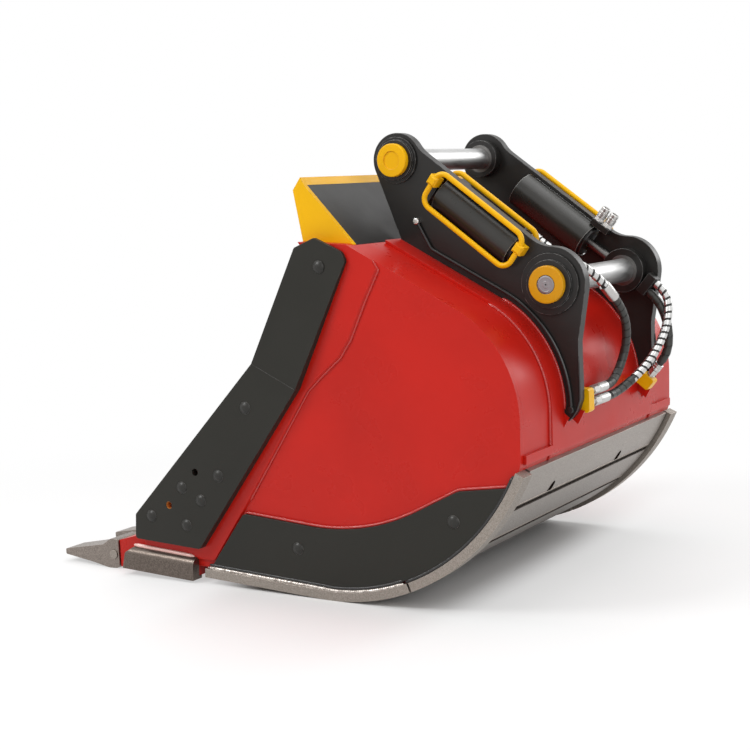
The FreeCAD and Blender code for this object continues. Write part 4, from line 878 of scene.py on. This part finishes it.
def build_heel_details(materials):
    """Beads along the wear plates' seams, a lighter one above as painted highlight and a dark one below as
    painted shade of the groove, dark sheets painted as the shade inside the notches, and black beads
    painted as the shadow line along the joint over the side strips.
    """
    for index, turn in enumerate(SEAM_TURNS):
        # Painted light: the upper bead is a lighter painted highlight, the lower one a dark painted shade
        # of the seam's groove.
        for painted_light_bead, offset, finish in (("up", SEAM_HALF, "edge_steel"), ("low", -SEAM_HALF, "seam_steel")):
            x, z = on_heel(turn + offset, WEAR_R - 0.6)
            line = [(x, y, z) for y in (-WEAR_HALF, 0.0, WEAR_HALF)]
            weld_bead("seam_%d_%s" % (index, painted_light_bead), line, 2.6, materials[finish], "wear_steel", 20 + index)
    low, high = NOTCH_TURNS
    for index, y in enumerate(NOTCH_PLACES):
        patch("notch_fill_%d" % index, y, (low, NOTCH_TOP), WEAR_R + 0.1, False, materials["wear_steel"])
        # Painted shade: a dark sheet over each notch stands for the shade inside it.
        patch("notch_%d" % index, y, (low, high), WEAR_R + 0.6, True, materials["dark_hole"])
    foot, bend, top = JOINT_TURNS
    # Painted shadow: black beads along the joint stand for the shadow line under the heel shroud's lower
    # edge.
    for side, sign in (("left", -1), ("right", 1)):
        y = sign * (HALF + 11.0)
        arc = [(x, y, z) for x, z in (on_heel(t, HEEL_R - 4.0) for t in turns(bend, top))]
        weld_bead("joint_arc_" + side, arc, 6.0, materials["black_line"], "black_line", 31)
        flat = [(x, y, strip_height(x) + 11.5) for x in (-250.0, 60.0, STRIP_FOOT[0])]
        flat += [(x, y, z) for x, z in (on_heel(t, HEEL_R - 9.5) for t in turns(foot, bend))]
        weld_bead("joint_flat_" + side, flat, 5.0, materials["black_line"], "black_line", 33)


# Welds

def build_welds(materials):
    """Beads along the shrouds, strips, ears, raised zones, wing shrouds and the saddle plate."""
    red, bright = materials["weld_red"], materials["weld_bright"]
    shroud = rounded_line(SHROUD_TOP)
    saddle = rounded_line(SHELL_BACK)
    for side, sign in (("left", -1), ("right", 1)):
        line = [(x - 1.0, sign * (HALF + 3.0), z + 3.0) for x, z in shroud]
        weld_bead("weld_shroud_" + side, line, 5.5, red, "red_paint", 3)
        y = sign * (HALF + 12.5)
        strip = [(x, y, strip_height(x) + 3.0) for x in (-255.0, 60.0, STRIP_FOOT[0])]
        arc = (on_heel(t, HEEL_R - 1.0) for t in turns(JOINT_TURNS[0], STRIP_END))
        strip += [(x, y, z) for x, z in arc]
        weld_bead("weld_strip_" + side, strip, 6.4, bright, "wear_steel", 5)
        for face, y in (("out", EAR_OUT + 1.0), ("in", EAR_IN - 1.0)):
            foot = [(x, sign * y, z) for x, z in offset_line(saddle, SADDLE_T + 1.0)
                    if x > 262.0 and z > 470.0]
            weld_bead("weld_ear_%s_%s" % (face, side), foot, 5.0, red, "red_paint", 7)
        rim = [(x, sign * (HALF + 1.0), z) for x, z in RIM_EDGE]
        weld_bead("weld_rim_" + side, rim, 3.6, red, "red_paint", 13)
        wing = [(x, sign * (HALF + 7.5), z + 10.0) for x, z in WING_WELD]
        weld_bead("weld_wing_" + side, wing, 6.0, materials["weld_pale"], "red_paint", 15)
        edge = [(x, sign * (SADDLE_HALF + 1.0), z) for x, z in offset_line(saddle, 1.5) if x > 246.0]
        weld_bead("weld_saddle_" + side, edge, 5.0, red, "red_paint", 9)


def offset_line(points, distance):
    """Flat line moved outwards, away from the bucket's inside."""
    out = []
    for i, (x, z) in enumerate(points):
        ax, az = points[max(0, i - 1)]
        bx, bz = points[min(len(points) - 1, i + 1)]
        length = math.hypot(bx - ax, bz - az)
        out.append((x + (bz - az) / length * distance, z - (bx - ax) / length * distance))
    return out


# Surroundings

def seen_directly(nodes, links):
    """1 for what is seen straight, in a reflection or through glass, 0 for light on the object."""
    path = nodes.new("ShaderNodeLightPath")
    out = path.outputs["Is Camera Ray"]
    for name in ("Is Glossy Ray", "Is Transmission Ray"):
        step = nodes.new("ShaderNodeMath")
        step.operation = "MAXIMUM"
        links.new(out, step.inputs[0])
        links.new(path.outputs[name], step.inputs[1])
        out = step.outputs[0]
    return out


def vector_step(nodes, links, kind, vector, value):
    """A vector after one step of arithmetic with a fixed one."""
    node = nodes.new("ShaderNodeVectorMath")
    node.operation = kind
    node.inputs[1].default_value = value
    links.new(vector, node.inputs[0])
    return node.outputs["Vector"]


def rise_with_length(nodes, links, vector, zone, top):
    """Value that rises smoothly to top where the vector's length passes through the zone."""
    length = nodes.new("ShaderNodeVectorMath")
    length.operation = "LENGTH"
    links.new(vector, length.inputs[0])
    rise = nodes.new("ShaderNodeMapRange")
    rise.interpolation_type = "SMOOTHSTEP"
    for name, value in (("From Min", zone[0]), ("From Max", zone[1]), ("To Max", top)):
        rise.inputs[name].default_value = value
    links.new(length.outputs["Value"], rise.inputs["Value"])
    return rise


def floor_share(nodes, links):
    """Share of glowing backdrop in the floor: least where the heel stands, which paints a darker contact
    shade there, up to FLOOR_GLOW round it, where the glow lightens the real shadow as painted light, and
    all of it far away.
    """
    place = nodes.new("ShaderNodeTexCoord").outputs["Object"]
    shift = vector_step(nodes, links, "SUBTRACT", place, (*CONTACT, 0.0))
    stretch = vector_step(nodes, links, "MULTIPLY", shift, CONTACT_STRETCH)
    # Painted shade and light: no glow along the heel's contact line, rising to FLOOR_GLOW round it.
    near = rise_with_length(nodes, links, stretch, CONTACT_SHADE_ZONE, FLOOR_GLOW)
    away = rise_with_length(nodes, links, place, BACKDROP_ZONE, 1.0)
    links.new(near.outputs["Result"], away.inputs["To Min"])
    seen = nodes.new("ShaderNodeMath")
    seen.operation = "MULTIPLY"
    links.new(away.outputs["Result"], seen.inputs[0])
    links.new(seen_directly(nodes, links), seen.inputs[1])
    return seen.outputs[0]


def build_floor():
    """White floor that keeps the shadow near the bucket, lightened by its glow and darkened along the
    heel's contact line as painted shade, and turns into the backdrop away from it.
    """
    bpy.ops.mesh.primitive_plane_add(size=FLOOR_SIZE, location=(0.0, 0.0, 0.0))
    floor = bpy.context.object
    floor.name = "floor"
    material = bpy.data.materials.new("floor")
    material.use_nodes = True
    nodes, links = material.node_tree.nodes, material.node_tree.links
    bsdf = nodes["Principled BSDF"]
    bsdf.inputs["Base Color"].default_value = (0.86, 0.86, 0.86, 1.0)
    bsdf.inputs["Roughness"].default_value = 0.6
    bsdf.inputs["Specular IOR Level"].default_value = 0.2
    glow = nodes.new("ShaderNodeEmission")
    glow.inputs["Color"].default_value = (1.0, 1.0, 1.0, 1.0)
    glow.inputs["Strength"].default_value = 1.0
    mix = nodes.new("ShaderNodeMixShader")
    links.new(floor_share(nodes, links), mix.inputs["Fac"])
    links.new(bsdf.outputs[0], mix.inputs[1])
    links.new(glow.outputs[0], mix.inputs[2])
    links.new(mix.outputs[0], nodes["Material Output"].inputs["Surface"])
    floor.data.materials.append(material)


def build_world():
    """White backdrop with a dimmer light on the object."""
    world = bpy.data.worlds.new("studio")
    bpy.context.scene.world = world
    world.use_nodes = True
    nodes, links = world.node_tree.nodes, world.node_tree.links
    light = nodes["Background"]
    light.inputs["Color"].default_value = (1.0, 0.99, 0.98, 1.0)
    light.inputs["Strength"].default_value = WORLD_LIGHT
    seen = nodes.new("ShaderNodeBackground")
    seen.inputs["Color"].default_value = (1.0, 1.0, 1.0, 1.0)
    seen.inputs["Strength"].default_value = 1.0
    mix = nodes.new("ShaderNodeMixShader")
    links.new(seen_directly(nodes, links), mix.inputs["Fac"])
    links.new(light.outputs[0], mix.inputs[1])
    links.new(seen.outputs[0], mix.inputs[2])
    links.new(mix.outputs[0], nodes["World Output"].inputs["Surface"])


def area_lamp(name, place, target, size, power):
    """Lamp of a size in metres that points at a target."""
    data = bpy.data.lights.new(name, "AREA")
    data.shape = "RECTANGLE"
    data.size, data.size_y = size
    data.energy = power
    lamp = bpy.data.objects.new(name, data)
    bpy.context.scene.collection.objects.link(lamp)
    lamp.location = place
    lamp.rotation_mode = "QUATERNION"
    lamp.rotation_quaternion = (Vector(target) - Vector(place)).to_track_quat("-Z", "Y")


def build_lights():
    area_lamp("key", (-2.6, -3.6, 4.2), (0.1, 0.0, 0.5), (2.2, 2.2), 170.0)
    area_lamp("fill", (4.2, -2.6, 2.4), (0.2, 0.0, 0.6), (3.0, 2.5), 70.0)
    area_lamp("top", (0.3, 0.4, 4.6), (0.1, 0.0, 0.4), (4.0, 4.0), 120.0)
    area_lamp("back", (2.6, 4.0, 2.6), (0.3, 0.0, 0.6), (3.0, 2.5), 64.0)


def build_camera():
    """The photograph's own view: place, three directions and lens from a fit on known corners."""
    data = bpy.data.cameras.new("camera")
    data.lens = LENS
    data.sensor_width = SENSOR
    data.clip_end = 100.0
    camera = bpy.data.objects.new("camera", data)
    bpy.context.scene.collection.objects.link(camera)
    ahead = Vector(CAMERA_AHEAD).normalized()
    right = Vector(CAMERA_RIGHT).normalized()
    up = right.cross(ahead).normalized()
    right = ahead.cross(up)
    place = at(*CAMERA_PLACE)
    camera.matrix_world = Matrix((
        (right.x, up.x, -ahead.x, place.x), (right.y, up.y, -ahead.y, place.y),
        (right.z, up.z, -ahead.z, place.z), (0.0, 0.0, 0.0, 1.0)))
    bpy.context.scene.camera = camera


def main():
    scene = bpy.context.scene
    scene.view_settings.view_transform = "Standard"
    build_camera()
    materials = make_materials()
    dress_nodes(materials)
    build_hoses(materials)
    build_fittings(materials)
    build_couplers(materials)
    build_ear_feet(materials)
    build_pin_ends(materials)
    build_cutter_details(materials)
    build_heel_details(materials)
    build_welds(materials)
    build_floor()
    build_world()
    build_lights()


main()
